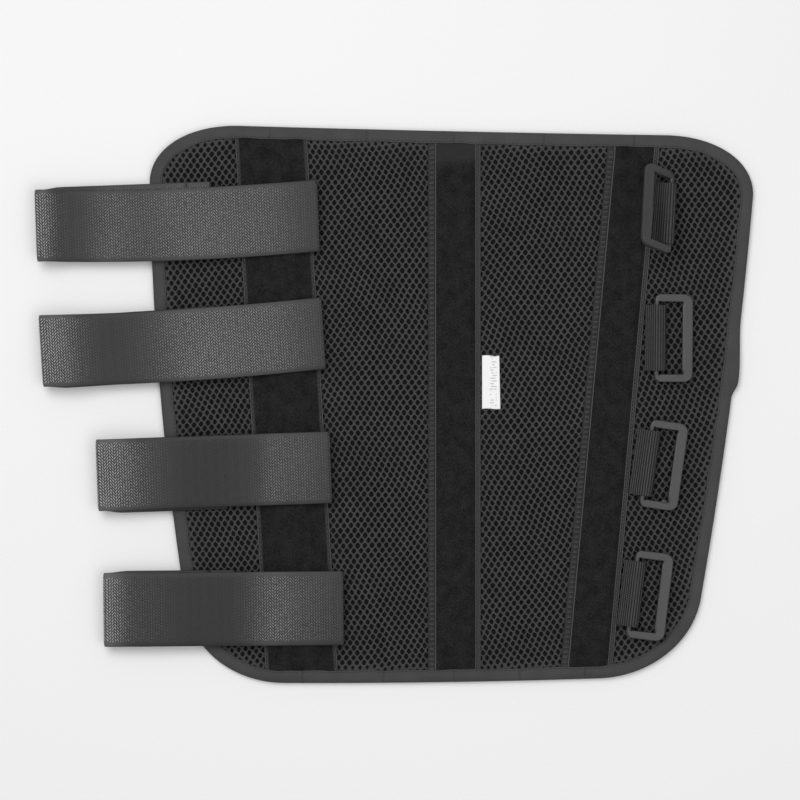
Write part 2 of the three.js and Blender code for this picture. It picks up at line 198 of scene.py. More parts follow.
def threads(starts: Array, ends: Array, radius: float, arch: float = 0.15) -> Shell:
    """Short sewing stitches: each a thread from a start to an end that bows up and tapers into the cloth.

    Args:
        starts: one row of x, y, z for each stitch.
        ends: the same for the other ends.
        radius: the thread's radius.
        arch: how far a stitch's middle stands above its ends.

    Returns:
        One shell with all the stitches, 14 faces each.
    """
    share = np.array([0.0, 0.22, 0.78, 1.0])
    girth = radius * np.array([0.45, 1.0, 1.0, 0.45])
    way = ends - starts
    way = way / np.linalg.norm(way, axis=1, keepdims=True)
    side = np.cross(way, np.broadcast_to((0.0, 0.0, 1.0), way.shape))
    side = side / np.linalg.norm(side, axis=1, keepdims=True)
    up = np.cross(side, way)
    middle = starts[:, None] + (ends - starts)[:, None] * share[None, :, None]
    middle = middle + table(0.0, 0.0, arch * np.sin(np.pi * share))[None]
    turn = -np.pi * (np.arange(4) / 2.0 + 0.25)
    cosine, sine = np.cos(turn)[None, None, :, None], np.sin(turn)[None, None, :, None]
    spoke = side[:, None, None] * cosine + up[:, None, None] * sine
    points = middle[:, :, None] + spoke * girth[None, :, None, None]
    cap = np.array([[0, 3, 2, 1], [12, 13, 14, 15]])
    one = np.concatenate([grid_quads(4, 4, False, True), cap])
    count = len(starts)
    quads = (one[None] + 16 * np.arange(count)[:, None, None]).reshape(-1, 4)
    flat_points = points.reshape(-1, 3)
    return Shell(flat_points, quads, flat_points[:, :2].copy())


def make_piece(
    name: str,
    shell: Shell,
    finishes: list[bpy.types.Material],
    shade: Array | None = None,
) -> Piece:
    """Puts a shell into the scene as a mesh object at the origin, in metres.

    Args:
        name: the piece's name.
        shell: its points, faces, cloth coordinates, shading and finish numbers.
        finishes: the materials that the shell's finish numbers stand for.
        shade: painted light and shade at each point, where its finish asks for that.

    Returns:
        The new object, with its cloth coordinates in metres in the UV map "cloth".
    """
    mesh = bpy.data.meshes.new(name)
    count = len(shell.quads)
    mesh.vertices.add(len(shell.points))
    mesh.vertices.foreach_set("co", (shell.points * MM).astype(np.float32).ravel())
    mesh.loops.add(4 * count)
    mesh.loops.foreach_set("vertex_index", shell.quads.astype(np.int32).ravel())
    mesh.polygons.add(count)
    mesh.polygons.foreach_set("loop_start", np.arange(0, 4 * count, 4, dtype=np.int32))
    mesh.polygons.foreach_set("material_index", shell.finish.astype(np.int32))
    mesh.update(calc_edges=True)
    mesh.attributes.new("sharp_face", "BOOLEAN", "FACE").data.foreach_set("value", shell.flat)
    chart = mesh.uv_layers.new(name="cloth")
    chart.uv.foreach_set("vector", (shell.cloth[shell.quads.ravel()] * MM).astype(np.float32).ravel())
    # The shade attribute holds painted light and shade, which finishes mix into their colour.
    if shade is not None:
        levels = mesh.attributes.new("shade", "FLOAT", "POINT")
        levels.data.foreach_set("value", shade.astype(np.float32).ravel())
    for finish in finishes:
        mesh.materials.append(finish)
    mesh.validate()
    piece = bpy.data.objects.new(name, mesh)
    bpy.context.scene.collection.objects.link(piece)
    return piece


# ---- Finishes ----


def paint(hex_code: str) -> tuple[float, float, float, float]:
    """Turns an sRGB hex colour into the linear colour that a shader takes."""
    shares = [int(hex_code[i : i + 2], 16) / 255.0 for i in (1, 3, 5)]
    linear = [s / 12.92 if s <= 0.04045 else ((s + 0.055) / 1.055) ** 2.4 for s in shares]
    return (*linear, 1.0)


def per(size: float) -> float:
    """The scale that makes a pattern on coordinates in metres repeat every size mm."""
    return 1.0 / (size * MM)


def add_node(tree: Tree, kind: str, inputs: dict | None = None, gives: int | str = 0, **settings) -> Socket:
    """Adds a shader node with its settings and links.

    Args:
        tree: the material's node tree.
        kind: the node's type without the word ShaderNode.
        inputs: for each input's name or number, a value to set or a socket to link.
        gives: the name or number of the output that is wanted.
        **settings: the node's own settings.

    Returns:
        The wanted output socket.
    """
    node = tree.nodes.new("ShaderNode" + kind)
    for name, value in settings.items():
        setattr(node, name, value)
    for key, value in (inputs or {}).items():
        if isinstance(value, Socket):
            tree.links.new(value, node.inputs[key])
        else:
            node.inputs[key].default_value = value
    return node.outputs[gives]


def reckon(tree: Tree, operation: str, first: Socket | float, second: Socket | float = 0.0) -> Socket:
    """A number worked out from two others, as SINE, MULTIPLY or PINGPONG do."""
    return add_node(tree, "Math", {0: first, 1: second}, operation=operation)


def wave(tree: Tree, along: Socket, pitch: float) -> Socket:
    """Runs smoothly from 0 to 1 and back once in every pitch of a length in mm."""
    turned = reckon(tree, "SINE", reckon(tree, "MULTIPLY", along, 2.0 * math.pi / pitch))
    return add_node(tree, "MapRange", {"Value": turned, "From Min": -1.0, "From Max": 1.0})


def cloth_mm(tree: Tree) -> tuple[Socket, Socket, Socket]:
    """The piece's own cloth coordinates as a vector in metres, and its length and width in mm."""
    vector = add_node(tree, "UVMap", uv_map="cloth")
    axes = tree.nodes.new("ShaderNodeSeparateXYZ")
    tree.links.new(vector, axes.inputs[0])
    lengths = [reckon(tree, "MULTIPLY", axes.outputs[i], 1.0 / MM) for i in (0, 1)]
    return vector, lengths[0], lengths[1]


def painted_light_and_shade(tree: Tree) -> Socket:
    """The painted light and shade that the piece's own attribute holds."""
    return add_node(tree, "Attribute", gives="Fac", attribute_name="shade")


@dataclass(frozen=True)
class Finish:
    """A surface in two sRGB hex colours that a pattern mixes, with a relief in mm that it also raises."""

    name: str
    dark: str
    light: str
    roughness: float = 0.9
    specular: float = 0.3
    sheen: float = 0.0
    sheen_roughness: float = 0.4
    metallic: float = 0.0
    relief: float = 0.2

    def pattern(self, tree: Tree) -> tuple[Socket, Socket]:
        """The share of the light colour and the height of the relief, each from 0 to 1."""
        raise NotImplementedError

    def make(self) -> bpy.types.Material:
        """Builds the material: its two colours mixed by the pattern, and the relief as bumps."""
        material = bpy.data.materials.new(self.name)
        material.use_nodes = True
        tree = material.node_tree
        tree.nodes.clear()
        share, height = self.pattern(tree)
        colour = add_node(
            tree, "Mix", {0: share, 6: paint(self.dark), 7: paint(self.light)}, gives=2, data_type="RGBA")
        normal = add_node(tree, "Bump", {"Height": height, "Distance": self.relief * MM, "Strength": 1.0})
        surface = add_node(tree, "BsdfPrincipled", {
            "Base Color": colour,
            "Normal": normal,
            "Roughness": self.roughness,
            "Specular IOR Level": self.specular,
            "Metallic": self.metallic,
            "Sheen Weight": self.sheen,
            "Sheen Roughness": self.sheen_roughness,
        })
        output = tree.nodes.new("ShaderNodeOutputMaterial")
        tree.links.new(surface, output.inputs[0])
        return material


@dataclass(frozen=True)
class MeshYarn(Finish):
    """Warp-knitted polyester spacer mesh: dull yarn twisted round each hole, a little unevenly dyed.

    Attributes:
        strand: the width of a strand.
        drift: the size of the slow drifts of tone.
    """

    strand: float = 0.55
    drift: float = 22.0

    def pattern(self, tree: Tree) -> tuple[Socket, Socket]:
        """Fine strands over slow drifts of tone, with painted shade darkening the yarn down towards the holes.
        """
        vector, _, _ = cloth_mm(tree)
        strands = add_node(tree, "TexNoise", {"Vector": vector, "Scale": per(self.strand), "Detail": 2.0})
        drifts = add_node(tree, "TexNoise", {"Vector": vector, "Scale": per(self.drift), "Detail": 2.0})
        share = add_node(tree, "Mix", {0: 0.45, 2: strands, 3: drifts})
        return reckon(tree, "MULTIPLY", share, painted_light_and_shade(tree)), strands


@dataclass(frozen=True)
class FoamSheet(Finish):
    """Open-cell polyurethane foam, nearly black: tiny cells that swallow the light."""

    cell: float = 0.8

    def pattern(self, tree: Tree) -> tuple[Socket, Socket]:
        """Round cells packed against each other."""
        vector, _, _ = cloth_mm(tree)
        cells = add_node(tree, "TexVoronoi", {"Vector": vector, "Scale": per(self.cell)}, gives="Distance")
        return cells, cells


@dataclass(frozen=True)
class BrushedKnit(Finish):
    """Brushed nylon knit against the skin: fine wales along the brace under a soft nap.

    Attributes:
        wale: the distance between wales.
        nap: the size of the nap's tufts.
    """

    wale: float = 1.1
    nap: float = 2.4

    def pattern(self, tree: Tree) -> tuple[Socket, Socket]:
        """Wales across the width, blurred by the nap."""
        vector, across, along = cloth_mm(tree)
        wales = wave(tree, across, self.wale)
        courses = wave(tree, along, self.wale * 0.8)
        nap = add_node(tree, "TexNoise", {"Vector": vector, "Scale": per(self.nap), "Detail": 4.0})
        knit = reckon(tree, "MULTIPLY", wales, courses)
        height = add_node(tree, "Mix", {0: 0.55, 2: knit, 3: nap})
        drifts = add_node(tree, "TexNoise", {"Vector": vector, "Scale": per(30.0), "Detail": 2.0})
        return add_node(tree, "Mix", {0: 0.5, 2: height, 3: drifts}), height


@dataclass(frozen=True)
class BindingTape(Finish):
    """Woven polyester binding tape: a close twill that reads as an even grey, paler where it is pulled.

    Its twill is the distance between twill lines, drawn coarser than the real ones so that they show.
    """

    twill: float = 1.1

    def pattern(self, tree: Tree) -> tuple[Socket, Socket]:
        """Diagonal twill lines with slow changes of shade."""
        vector, along, across = cloth_mm(tree)
        slant = reckon(tree, "ADD", along, across)
        lines = wave(tree, slant, self.twill)
        picks = wave(tree, reckon(tree, "SUBTRACT", along, across), self.twill * 0.7)
        weave = reckon(tree, "MULTIPLY", lines, picks)
        drifts = add_node(tree, "TexNoise", {"Vector": vector, "Scale": per(14.0), "Detail": 3.0})
        return add_node(tree, "Mix", {0: 0.6, 2: weave, 3: drifts}), weave


@dataclass(frozen=True)
class LoopPile(Finish):
    """Brushed nylon loop tape: a deep black pile of tangled loops, with painted glints where a few catch the
    light.

    Attributes:
        tuft: the size of a tuft of loops.
        cloud: the size of the patches where the pile leans.
    """

    tuft: float = 0.95
    cloud: float = 9.0

    def pattern(self, tree: Tree) -> tuple[Socket, Socket]:
        """Tangled tufts, clouds where the pile leans, rare painted glints on single loops and painted sheen at
        the wide end.
        """
        vector, _, _ = cloth_mm(tree)
        tufts = add_node(
            tree, "TexNoise", {"Vector": vector, "Scale": per(self.tuft), "Detail": 3.0, "Distortion": 1.2})
        clouds = add_node(tree, "TexNoise", {"Vector": vector, "Scale": per(self.cloud), "Detail": 3.0})
        mottle = add_node(tree, "Mix", {0: 0.3, 2: tufts, 3: clouds})
        share = add_node(
            tree, "MapRange", {"Value": mottle, "From Min": 0.38, "From Max": 0.62, "To Max": 0.8})
        # Painted glints: a few spots of loops lit brighter, as if they catch the light.
        spots = add_node(tree, "TexVoronoi", {"Vector": vector, "Scale": per(4.0)}, gives="Distance")
        painted_glints = add_node(
            tree, "MapRange", {"Value": spots, "From Min": 0.09, "From Max": 0.03, "To Max": 0.5})
        # The shade attribute adds the painted sheen at a sleeve's wide end.
        return reckon(tree, "ADD", reckon(tree, "ADD", share, painted_glints), painted_light_and_shade(tree)), tufts


@dataclass(frozen=True)
class Selvage(Finish):
    """The woven edge of the loop tape, without pile: flat ribs along the tape.

    Its rib is the distance between ribs, drawn coarse so that they show.
    """

    rib: float = 0.9

    def pattern(self, tree: Tree) -> tuple[Socket, Socket]:
        """Ribs along the tape, broken up a little."""
        vector, across, along = cloth_mm(tree)
        ribs = wave(tree, across, self.rib)
        picks = wave(tree, along, self.rib)
        weave = add_node(tree, "Mix", {0: 0.4, 2: ribs, 3: picks})
        drifts = add_node(tree, "TexNoise", {"Vector": vector, "Scale": per(6.0), "Detail": 3.0})
        return add_node(tree, "Mix", {0: 0.6, 2: weave, 3: drifts}), weave


@dataclass(frozen=True)
class HookTape(Finish):
    """Woven nylon hook tape: rows of tiny stiff hooks in a herringbone, between plain edges.

    Attributes:
        half_chevron: half the length of a chevron along the tape.
        row: the distance between rows of hooks.
        dot: the distance between hooks in a row, drawn coarse so that they show.
        edge: half the width that has hooks.
    """

    half_chevron: float = 3.6
    row: float = 2.1
    dot: float = 1.8
    edge: float = 22.3

    def pattern(self, tree: Tree) -> tuple[Socket, Socket]:
        """Zigzag rows across the tape, cut into dots, with plain edges and painted light and shade that stands
        in for how the tape tilts to the light.
        """
        vector, along, across = cloth_mm(tree)
        zigzag = reckon(tree, "PINGPONG", along, self.half_chevron)
        slant = reckon(tree, "ADD", across, reckon(tree, "MULTIPLY", zigzag, 1.15))
        rows = wave(tree, slant, self.row)
        dots = wave(tree, along, self.dot)
        hooks = reckon(tree, "MULTIPLY", rows, add_node(tree, "MapRange", {"Value": dots, "To Min": 0.25}))
        uneven = add_node(tree, "TexNoise", {"Vector": vector, "Scale": per(2.6), "Detail": 2.0})
        varied = reckon(tree, "MULTIPLY", hooks, reckon(tree, "MULTIPLY", uneven, 2.0))
        hooks = reckon(tree, "POWER", varied, 1.4)
        outwards = reckon(tree, "ABSOLUTE", across)
        inner = add_node(
            tree, "MapRange", {"Value": outwards, "From Min": self.edge + 0.6, "From Max": self.edge - 0.6})
        height = add_node(tree, "Mix", {0: inner, 2: 0.12, 3: hooks})
        drifts = add_node(tree, "TexNoise", {"Vector": vector, "Scale": per(28.0), "Detail": 2.0})
        uneven_dye = reckon(tree, "MULTIPLY", reckon(tree, "SUBTRACT", drifts, 0.5), 0.12)
        # The shade attribute multiplies the hooks by painted light and shade.
        return reckon(tree, "MULTIPLY", reckon(tree, "ADD", height, uneven_dye), painted_light_and_shade(tree)), height


@dataclass(frozen=True)
class RibbedWebbing(Finish):
    """Polypropylene webbing with ribs across its length, each a row of small floats.

    Attributes:
        rib: the distance between ribs.
        float_length: the length of a float.
    """

    rib: float = 1.7
    float_length: float = 1.2

    def pattern(self, tree: Tree) -> tuple[Socket, Socket]:
        """Ribs across the webbing, dotted along each one."""
        vector, along, across = cloth_mm(tree)
        ribs = wave(tree, along, self.rib)
        slant = reckon(tree, "ADD", across, reckon(tree, "MULTIPLY", along, 0.5))
        floats = wave(tree, slant, self.float_length)
        dotted = add_node(tree, "MapRange", {"Value": floats, "To Min": 0.15})
        weave = reckon(tree, "MULTIPLY", ribs, dotted)
        uneven = add_node(tree, "TexNoise", {"Vector": vector, "Scale": per(4.0), "Detail": 2.0})
        faded = add_node(tree, "MapRange", {"Value": uneven, "To Min": 0.5})
        return reckon(tree, "MULTIPLY", weave, faded), weave


@dataclass(frozen=True)
class MouldedNylon(Finish):
    """Injection-moulded nylon with a fine spark-eroded grain under faint smudges.

    Its grain is the size of the grain, drawn coarse so that it shows.
    """

    grain: float = 0.45

    def pattern(self, tree: Tree) -> tuple[Socket, Socket]:
        """A fine grain under faint smudges."""
        place = add_node(tree, "TexCoord", gives="Object")
        grain = add_node(tree, "TexNoise", {"Vector": place, "Scale": per(self.grain), "Detail": 2.0})
        smudges = add_node(tree, "TexNoise", {"Vector": place, "Scale": per(9.0), "Detail": 3.0})
        return add_node(tree, "Mix", {0: 0.7, 2: grain, 3: smudges}), grain


@dataclass(frozen=True)
class RolledAluminium(Finish):
    """Rolled aluminium strip, bare: fine lines along the roll, dull from handling."""

    line: float = 0.5

    def pattern(self, tree: Tree) -> tuple[Socket, Socket]:
        """Streaks drawn out forty times as long as they are wide."""
        place = add_node(tree, "TexCoord", gives="Object")
        drawn = add_node(tree, "Mapping", {"Vector": place, "Scale": (1.0, 0.025, 1.0)})
        lines = add_node(tree, "TexNoise", {"Vector": drawn, "Scale": per(self.line), "Detail": 3.0})
        return lines, lines


@dataclass(frozen=True)
class LabelSatin(Finish):
    """White polyester satin ribbon with rows of faint grey bars, which stand for printed care marks.

    Attributes:
        bar_pitch: the distance between rows of bars.
        first: how far from the sewn edge the bars begin.
        last: how far from it they end.
    """

    bar_pitch: float = 1.9
    first: float = 5.4
    last: float = 10.2

    def pattern(self, tree: Tree) -> tuple[Socket, Socket]:
        """White, with bars across the outer half that are broken into lengths."""
        vector, along, across = cloth_mm(tree)
        rows = wave(tree, across, self.bar_pitch)
        bars = add_node(tree, "MapRange", {"Value": rows, "From Min": 0.62, "From Max": 0.7})
        lengths = add_node(tree, "TexNoise", {"Vector": vector, "Scale": per(3.2), "Detail": 0.0})
        broken = add_node(tree, "MapRange", {"Value": lengths, "From Min": 0.47, "From Max": 0.5})
        begun = reckon(tree, "GREATER_THAN", along, self.first)
        inside = reckon(tree, "MULTIPLY", begun, reckon(tree, "LESS_THAN", along, self.last))
        print_share = reckon(tree, "MULTIPLY", reckon(tree, "MULTIPLY", bars, broken), inside)
        weave = wave(tree, reckon(tree, "ADD", along, across), 0.6)
        share = reckon(tree, "SUBTRACT", 1.0, reckon(tree, "MULTIPLY", print_share, 0.75))
        return share, weave


@dataclass(frozen=True)
class SewingThread(Finish):
    """Bonded polyester sewing thread, three plies twisted together."""

    ply: float = 0.6

    def pattern(self, tree: Tree) -> tuple[Socket, Socket]:
        """Slanting plies."""
        _, along, across = cloth_mm(tree)
        plies = wave(tree, reckon(tree, "ADD", along, across), self.ply)
        return plies, plies


@dataclass(frozen=True)
class MattCard(Finish):
    """A sheet of matt white card to stand on."""

    tooth: float = 1.5

    def pattern(self, tree: Tree) -> tuple[Socket, Socket]:
        """The card's faint tooth."""
        place = add_node(tree, "TexCoord", gives="Object")
        tooth = add_node(tree, "TexNoise", {"Vector": place, "Scale": per(self.tooth), "Detail": 2.0})
        return tooth, tooth


class Dress(Enum):
    """Every finish of the brace."""

    LINING = BrushedKnit("brushed_knit", "#2c2c2c", "#464646", 0.95, 0.15, sheen=0.25, relief=0.25)
    CORE = FoamSheet("open_cell_foam", "#111111", "#1d1d1d", 0.98, 0.05, relief=0.2)
    COVER = MeshYarn("spacer_mesh_yarn", "#2c2c2d", "#4c4c4d", 0.8, 0.3, relief=0.12)
    BINDING = BindingTape("twill_binding_tape", "#393939", "#505050", 0.85, 0.25, relief=0.06)
    PILE = LoopPile("loop_pile", "#121212", "#2f2f2f", 0.95, 0.1, sheen=0.08, relief=0.5)
    SELVAGE = Selvage("woven_selvage", "#232324", "#3a3a3a", 0.85, 0.2, relief=0.12)
    STAY = RolledAluminium("rolled_aluminium", "#8e8e8e", "#b5b5b5", 0.38, 0.5, metallic=1.0, relief=0.02)
    HOOK = HookTape("woven_hook_tape", "#222222", "#a2a2a2", 0.55, 0.35, relief=0.25)
    WEBBING = RibbedWebbing("ribbed_webbing", "#151516", "#6a6a6a", 0.8, 0.25, relief=0.3)
    RING = MouldedNylon("moulded_nylon", "#2d2d2d", "#3c3c3c", 0.4, 0.5, relief=0.03)
    LABEL = LabelSatin("satin_label", "#aeaeae", "#f2f2f2", 0.6, 0.4, relief=0.02)
    THREAD = SewingThread("sewing_thread", "#3e3e3e", "#5c5c5c", 0.7, 0.3, relief=0.05)
    # The sewing thread again in darker colours: painted shade for stitches sunk in the binding's groove.
    SHADED_THREAD = SewingThread("painted_shade_thread", "#2a2a2a", "#3c3c3c", 0.8, 0.2, relief=0.05)
    CARD = MattCard("matt_card", "#efefef", "#f5f5f5", 0.95, 0.1, relief=0.01)


class Wardrobe:
    """Makes each finish's material once, when it is first asked for. Every sub-assembly is handed one."""

    def __init__(self) -> None:
        """Starts with no materials."""
        self.made: dict[Dress, bpy.types.Material] = {}

    def take(self, *dresses: Dress) -> list[bpy.types.Material]:
        """The materials of some finishes, in their order."""
        for dress in dresses:
            if dress not in self.made:
                self.made[dress] = dress.value.make()
        return [self.made[dress] for dress in dresses]


# ---- The panel's outline and the lines across it ----


@dataclass(frozen=True)
class Crossing:
    """A straight line across the panel.

    Attributes:
        x: its x at y = 0.
        slope: how much x grows with y.
    """

    x: float
    slope: float

    def at(self, y: Array | float) -> Array | float:
        """The line's x at a height y."""
        return self.x + self.slope * y

    def right_of(self, x: Array, y: Array) -> Array:
        """How far points lie to the line's right, square to it."""
        return (x - self.at(y)) / math.hypot(1.0, self.slope)

    def shifted(self, sideways: float) -> "Crossing":
        """The parallel line that lies some way to the right."""
        return Crossing(self.x + sideways * math.hypot(1.0, self.slope), self.slope)

    def halfway(self, other: "Crossing") -> "Crossing":
        """The line midway between this one and another."""
        return Crossing((self.x + other.x) / 2.0, (self.slope + other.slope) / 2.0)


def joint(name: str) -> dict:
    """The frame's joint of that name."""
    return next(j for j in frame["joints"] if j["name"] == name)


def joint_place(name: str) -> tuple[Array, Array]:
    """A joint's place in mm and its unit axis."""
    found = joint(name)
    return np.array(found["pos_m"]) / MM, np.array(found["axis"])


def bend_line(name: str) -> Crossing:
    """The line that the panel bends on at one of its joints."""
    place, axis = joint_place(name)
    slope = axis[0] / axis[1]
    return Crossing(place[0] - slope * place[1], slope)


def bend_with(piece: Piece) -> None:
    """Bakes a piece's placement into its mesh."""
    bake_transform(piece)


def bend_across(piece: Piece) -> None:
    """Bakes a piece's placement into its mesh, as bend_with does."""
    bend_with(piece)


class Rim:
    """A closed outline, anticlockwise, read by the distance along it."""

    def __init__(self, points: Array, spacing: float = 1.5) -> None:
        """Spaces the outline's points evenly.

        Args:
            points: the outline's points in mm, in order.
            spacing: the wanted distance between points.
        """
        closed = np.vstack([points, points[:1]])
        steps = np.linalg.norm(np.diff(closed, axis=0), axis=1)
        travelled = np.concatenate([[0.0], np.cumsum(steps)])
        self.length = float(travelled[-1])
        self.count = int(self.length / spacing)
        self.distance = self.length * np.arange(self.count) / self.count
        self.points = table(*(np.interp(self.distance, travelled, closed[:, i]) for i in (0, 1)))
        tangent = np.roll(self.points, -1, axis=0) - np.roll(self.points, 1, axis=0)
        tangent = tangent / np.linalg.norm(tangent, axis=1, keepdims=True)
        self.inward = table(-tangent[:, 1], tangent[:, 0])

    def read(self, values: Array, along: Array) -> Array:
        """Values kept at the rim's points, read at distances along it."""
        return table(*(np.interp(along, self.distance, values[:, i], period=self.length) for i in (0, 1)))

    def at(self, along: Array, inset: Array | float = 0.0) -> Array:
        """Points at distances along the rim, moved inwards square to it."""
        return self.read(self.points, along) + self.read(self.inward, along) * np.asarray(inset)[..., None]

    def crossings(self, line: Crossing) -> tuple[float, float]:
        """Where a line crosses the rim at the wide end and at the narrow end, as distances along it."""
        side = line.right_of(self.points[:, 0], self.points[:, 1])
        onwards = np.roll(side, -1)
        hits = np.flatnonzero(side * onwards <= 0)
        places = self.distance[hits] + self.length / self.count * side[hits] / (side[hits] - onwards[hits])
        heights = self.points[hits, 1]
        return float(places[heights.argmax()]), float(places[heights.argmin()])

    def nearest(self, point: Array) -> float:
        """The distance along the rim of its point nearest to another."""
        return float(self.distance[np.linalg.norm(self.points - point, axis=1).argmin()])

    def run(self, start: float, end: float, count: int, inset: float = 0.0) -> Array:
        """Evenly spaced points on the rim, anticlockwise from one distance along it to another."""
        span = (end - start) % self.length
        return self.at(start + span * np.linspace(0.0, 1.0, count), inset)

    def depth(self, x: Array, y: Array) -> Array:
        """How far points lie inside the rim, and less than 0 outside it."""
        flat = table(x, y).reshape(-1, 2)
        thin = slice(None, None, 2)
        away = flat[:, None] - self.points[None, thin]
        near = np.linalg.norm(away, axis=2).argmin(axis=1)
        pick = np.arange(len(flat))
        inside = (away[pick, near] * self.inward[thin][near]).sum(axis=1)
        return inside.reshape(np.shape(x))


@dataclass(frozen=True)
class PanelShape:
    """The panel's outline: four corners that its edges would meet at, rounded, and the edges' bows.

    The left corners lie half_length up and down from the middle, and the right ones top_drop and
    bottom_rise nearer. Each bow bends its edge outwards, and top_dip bends the wide end inwards. The corners'
    curves reach corner_along along the ends, corner_up and corner_down along the side edges, and come as
    near to the corners as corner_fullness says, from 0 to 1.
    """

    half_length: float = 196.0
    top_left: float = 216.5
    top_right: float = 214.5
    bottom_left: float = 183.0
    bottom_right: float = 165.5
    top_drop: float = 9.5
    bottom_rise: float = 5.0
    left_bow: float = 5.0
    right_bow: float = 3.0
    bottom_bow: float = 1.0
    top_dip: float = 0.5
    corner_along: float = 66.0
    corner_up: float = 58.0
    corner_down: float = 44.0
    corner_fullness: float = 0.57

    def corners(self) -> Array:
        """Wide end left, narrow end left, narrow end right and wide end right."""
        low, high = self.bottom_rise - self.half_length, self.half_length - self.top_drop
        return np.array([
            (-self.top_left, self.half_length),
            (-self.bottom_left, -self.half_length),
            (self.bottom_right, low),
            (self.top_right, high),
        ])

    def rim(self) -> Rim:
        """The outline: four cubic corners joined by four edges that bow by a quadratic curve."""
        corners = self.corners()
        before = [self.corner_along, self.corner_up, self.corner_along, self.corner_down]
        after = [self.corner_down, self.corner_along, self.corner_up, self.corner_along]
        bows = [self.left_bow, self.bottom_bow, self.right_bow, -self.top_dip]
        share = np.linspace(0.0, 1.0, 49)[:-1, None]
        starts = [self.toward(corners[i], corners[i - 1], before[i]) for i in range(4)]
        ends = [self.toward(corners[i], corners[(i + 1) % 4], after[i]) for i in range(4)]
        parts = []
        for i in range(4):
            first = starts[i] + (corners[i] - starts[i]) * self.corner_fullness
            second = ends[i] + (corners[i] - ends[i]) * self.corner_fullness
            parts.append(
                (1 - share) ** 3 * starts[i]
                + 3 * share * (1 - share) ** 2 * first
                + 3 * share**2 * (1 - share) * second
                + share**3 * ends[i]
            )
            after_end = starts[(i + 1) % 4]
            way = (after_end - ends[i]) / np.linalg.norm(after_end - ends[i])
            control = (ends[i] + after_end) / 2.0 + 2.0 * bows[i] * np.array((way[1], -way[0]))
            parts.append(
                (1 - share) ** 2 * ends[i] + 2 * share * (1 - share) * control + share**2 * after_end)
        return Rim(np.concatenate(parts))

    @staticmethod
    def toward(corner: Array, other: Array, distance: float) -> Array:
        """The point a distance from one corner on the way to another."""
        return corner + (other - corner) * distance / np.linalg.norm(other - corner)


class Seam(Enum):
    """How an edge of a sleeve's tape is sewn down."""

    PLAIN = "one row of running stitches"
    LADDER = "rungs of doubled thread across a wide selvage"
    CHAIN = "a zigzag of loops between two cords"


@dataclass(frozen=True)
class SleeveShape:
    """A sleeve's tape.

    Attributes:
        name: the sleeve's name.
        body: the body that it rides on.
        x: its middle's x at y = 0.
        lean: its lean to the right at the wide end, in degrees.
        width: the tape's width.
        left_seam: how its left edge is sewn.
        right_seam: how its right edge is sewn.
        painted_sheen: how much painted sheen lightens the pile at the wide end, where the tape slopes down to
            the binding.
    """

    name: str
    body: str
    x: float
    lean: float
    width: float
    left_seam: Seam
    right_seam: Seam
    painted_sheen: float = 0.0

    @property
    def line(self) -> Crossing:
        """The line that the tape's middle follows."""
        return Crossing(self.x, math.tan(math.radians(self.lean)))

    def place(self, across: Array, along: Array) -> tuple[Array, Array]:
        """The x and y of a point some way across the tape and along it from y = 0."""
        lean = math.radians(self.lean)
        x = self.x + across * math.cos(lean) + along * math.sin(lean)
        return x, along * math.cos(lean) - across * math.sin(lean)


SLEEVES = (
    SleeveShape("left", "left_side", -117.2, -3.3, 50.0, Seam.PLAIN, Seam.PLAIN),
    # The centre sleeve's last number is the painted sheen at its wide end.
    SleeveShape("centre", "centre", 0.0, 0.0, 36.5, Seam.LADDER, Seam.CHAIN, 1.3),
    SleeveShape("right", "right_side", 109.0, 5.16, 36.0, Seam.LADDER, Seam.CHAIN),
)


@dataclass(frozen=True)
class Strip:
    """A part of the panel that bends over one line.

    Attributes:
        name: what it is called.
        joint: the joint that it bends with; not used.
        left: the line where it meets the strip to its left, if there is one.
        right: the line where it meets the strip to its right, if there is one.
        sections: the names of the CAD sections that it stands for.
    """

    name: str
    joint: str
    left: Crossing | None
    right: Crossing | None
    sections: tuple[str, ...]


def panel_strips() -> list[Strip]:
    """Six strips that meet on the sleeves' middles and midway between the bends by the centre sleeve."""
    left, centre, right = (s.line for s in SLEEVES)
    left_mid = bend_line("left_wrap").halfway(bend_line("left_wrap_side"))
    right_mid = bend_line("right_wrap").halfway(bend_line("right_wrap_side"))
    return [
        Strip("strap_flap", "left_wrap_flap", None, left, ("left_flap",)),
        Strip("strap_side", "left_wrap_side", left, left_mid, ("left_side",)),
        Strip("inner_left", "left_wrap", left_mid, centre, ("left_mid",)),
        Strip("inner_right", "right_wrap", centre, right_mid, ("centre",)),
        Strip("ring_side", "right_wrap_side", right_mid, right, ("right_mid",)),
        Strip("ring_flap", "right_wrap_flap", right, None, ("right_side", "right_flap")),
    ]


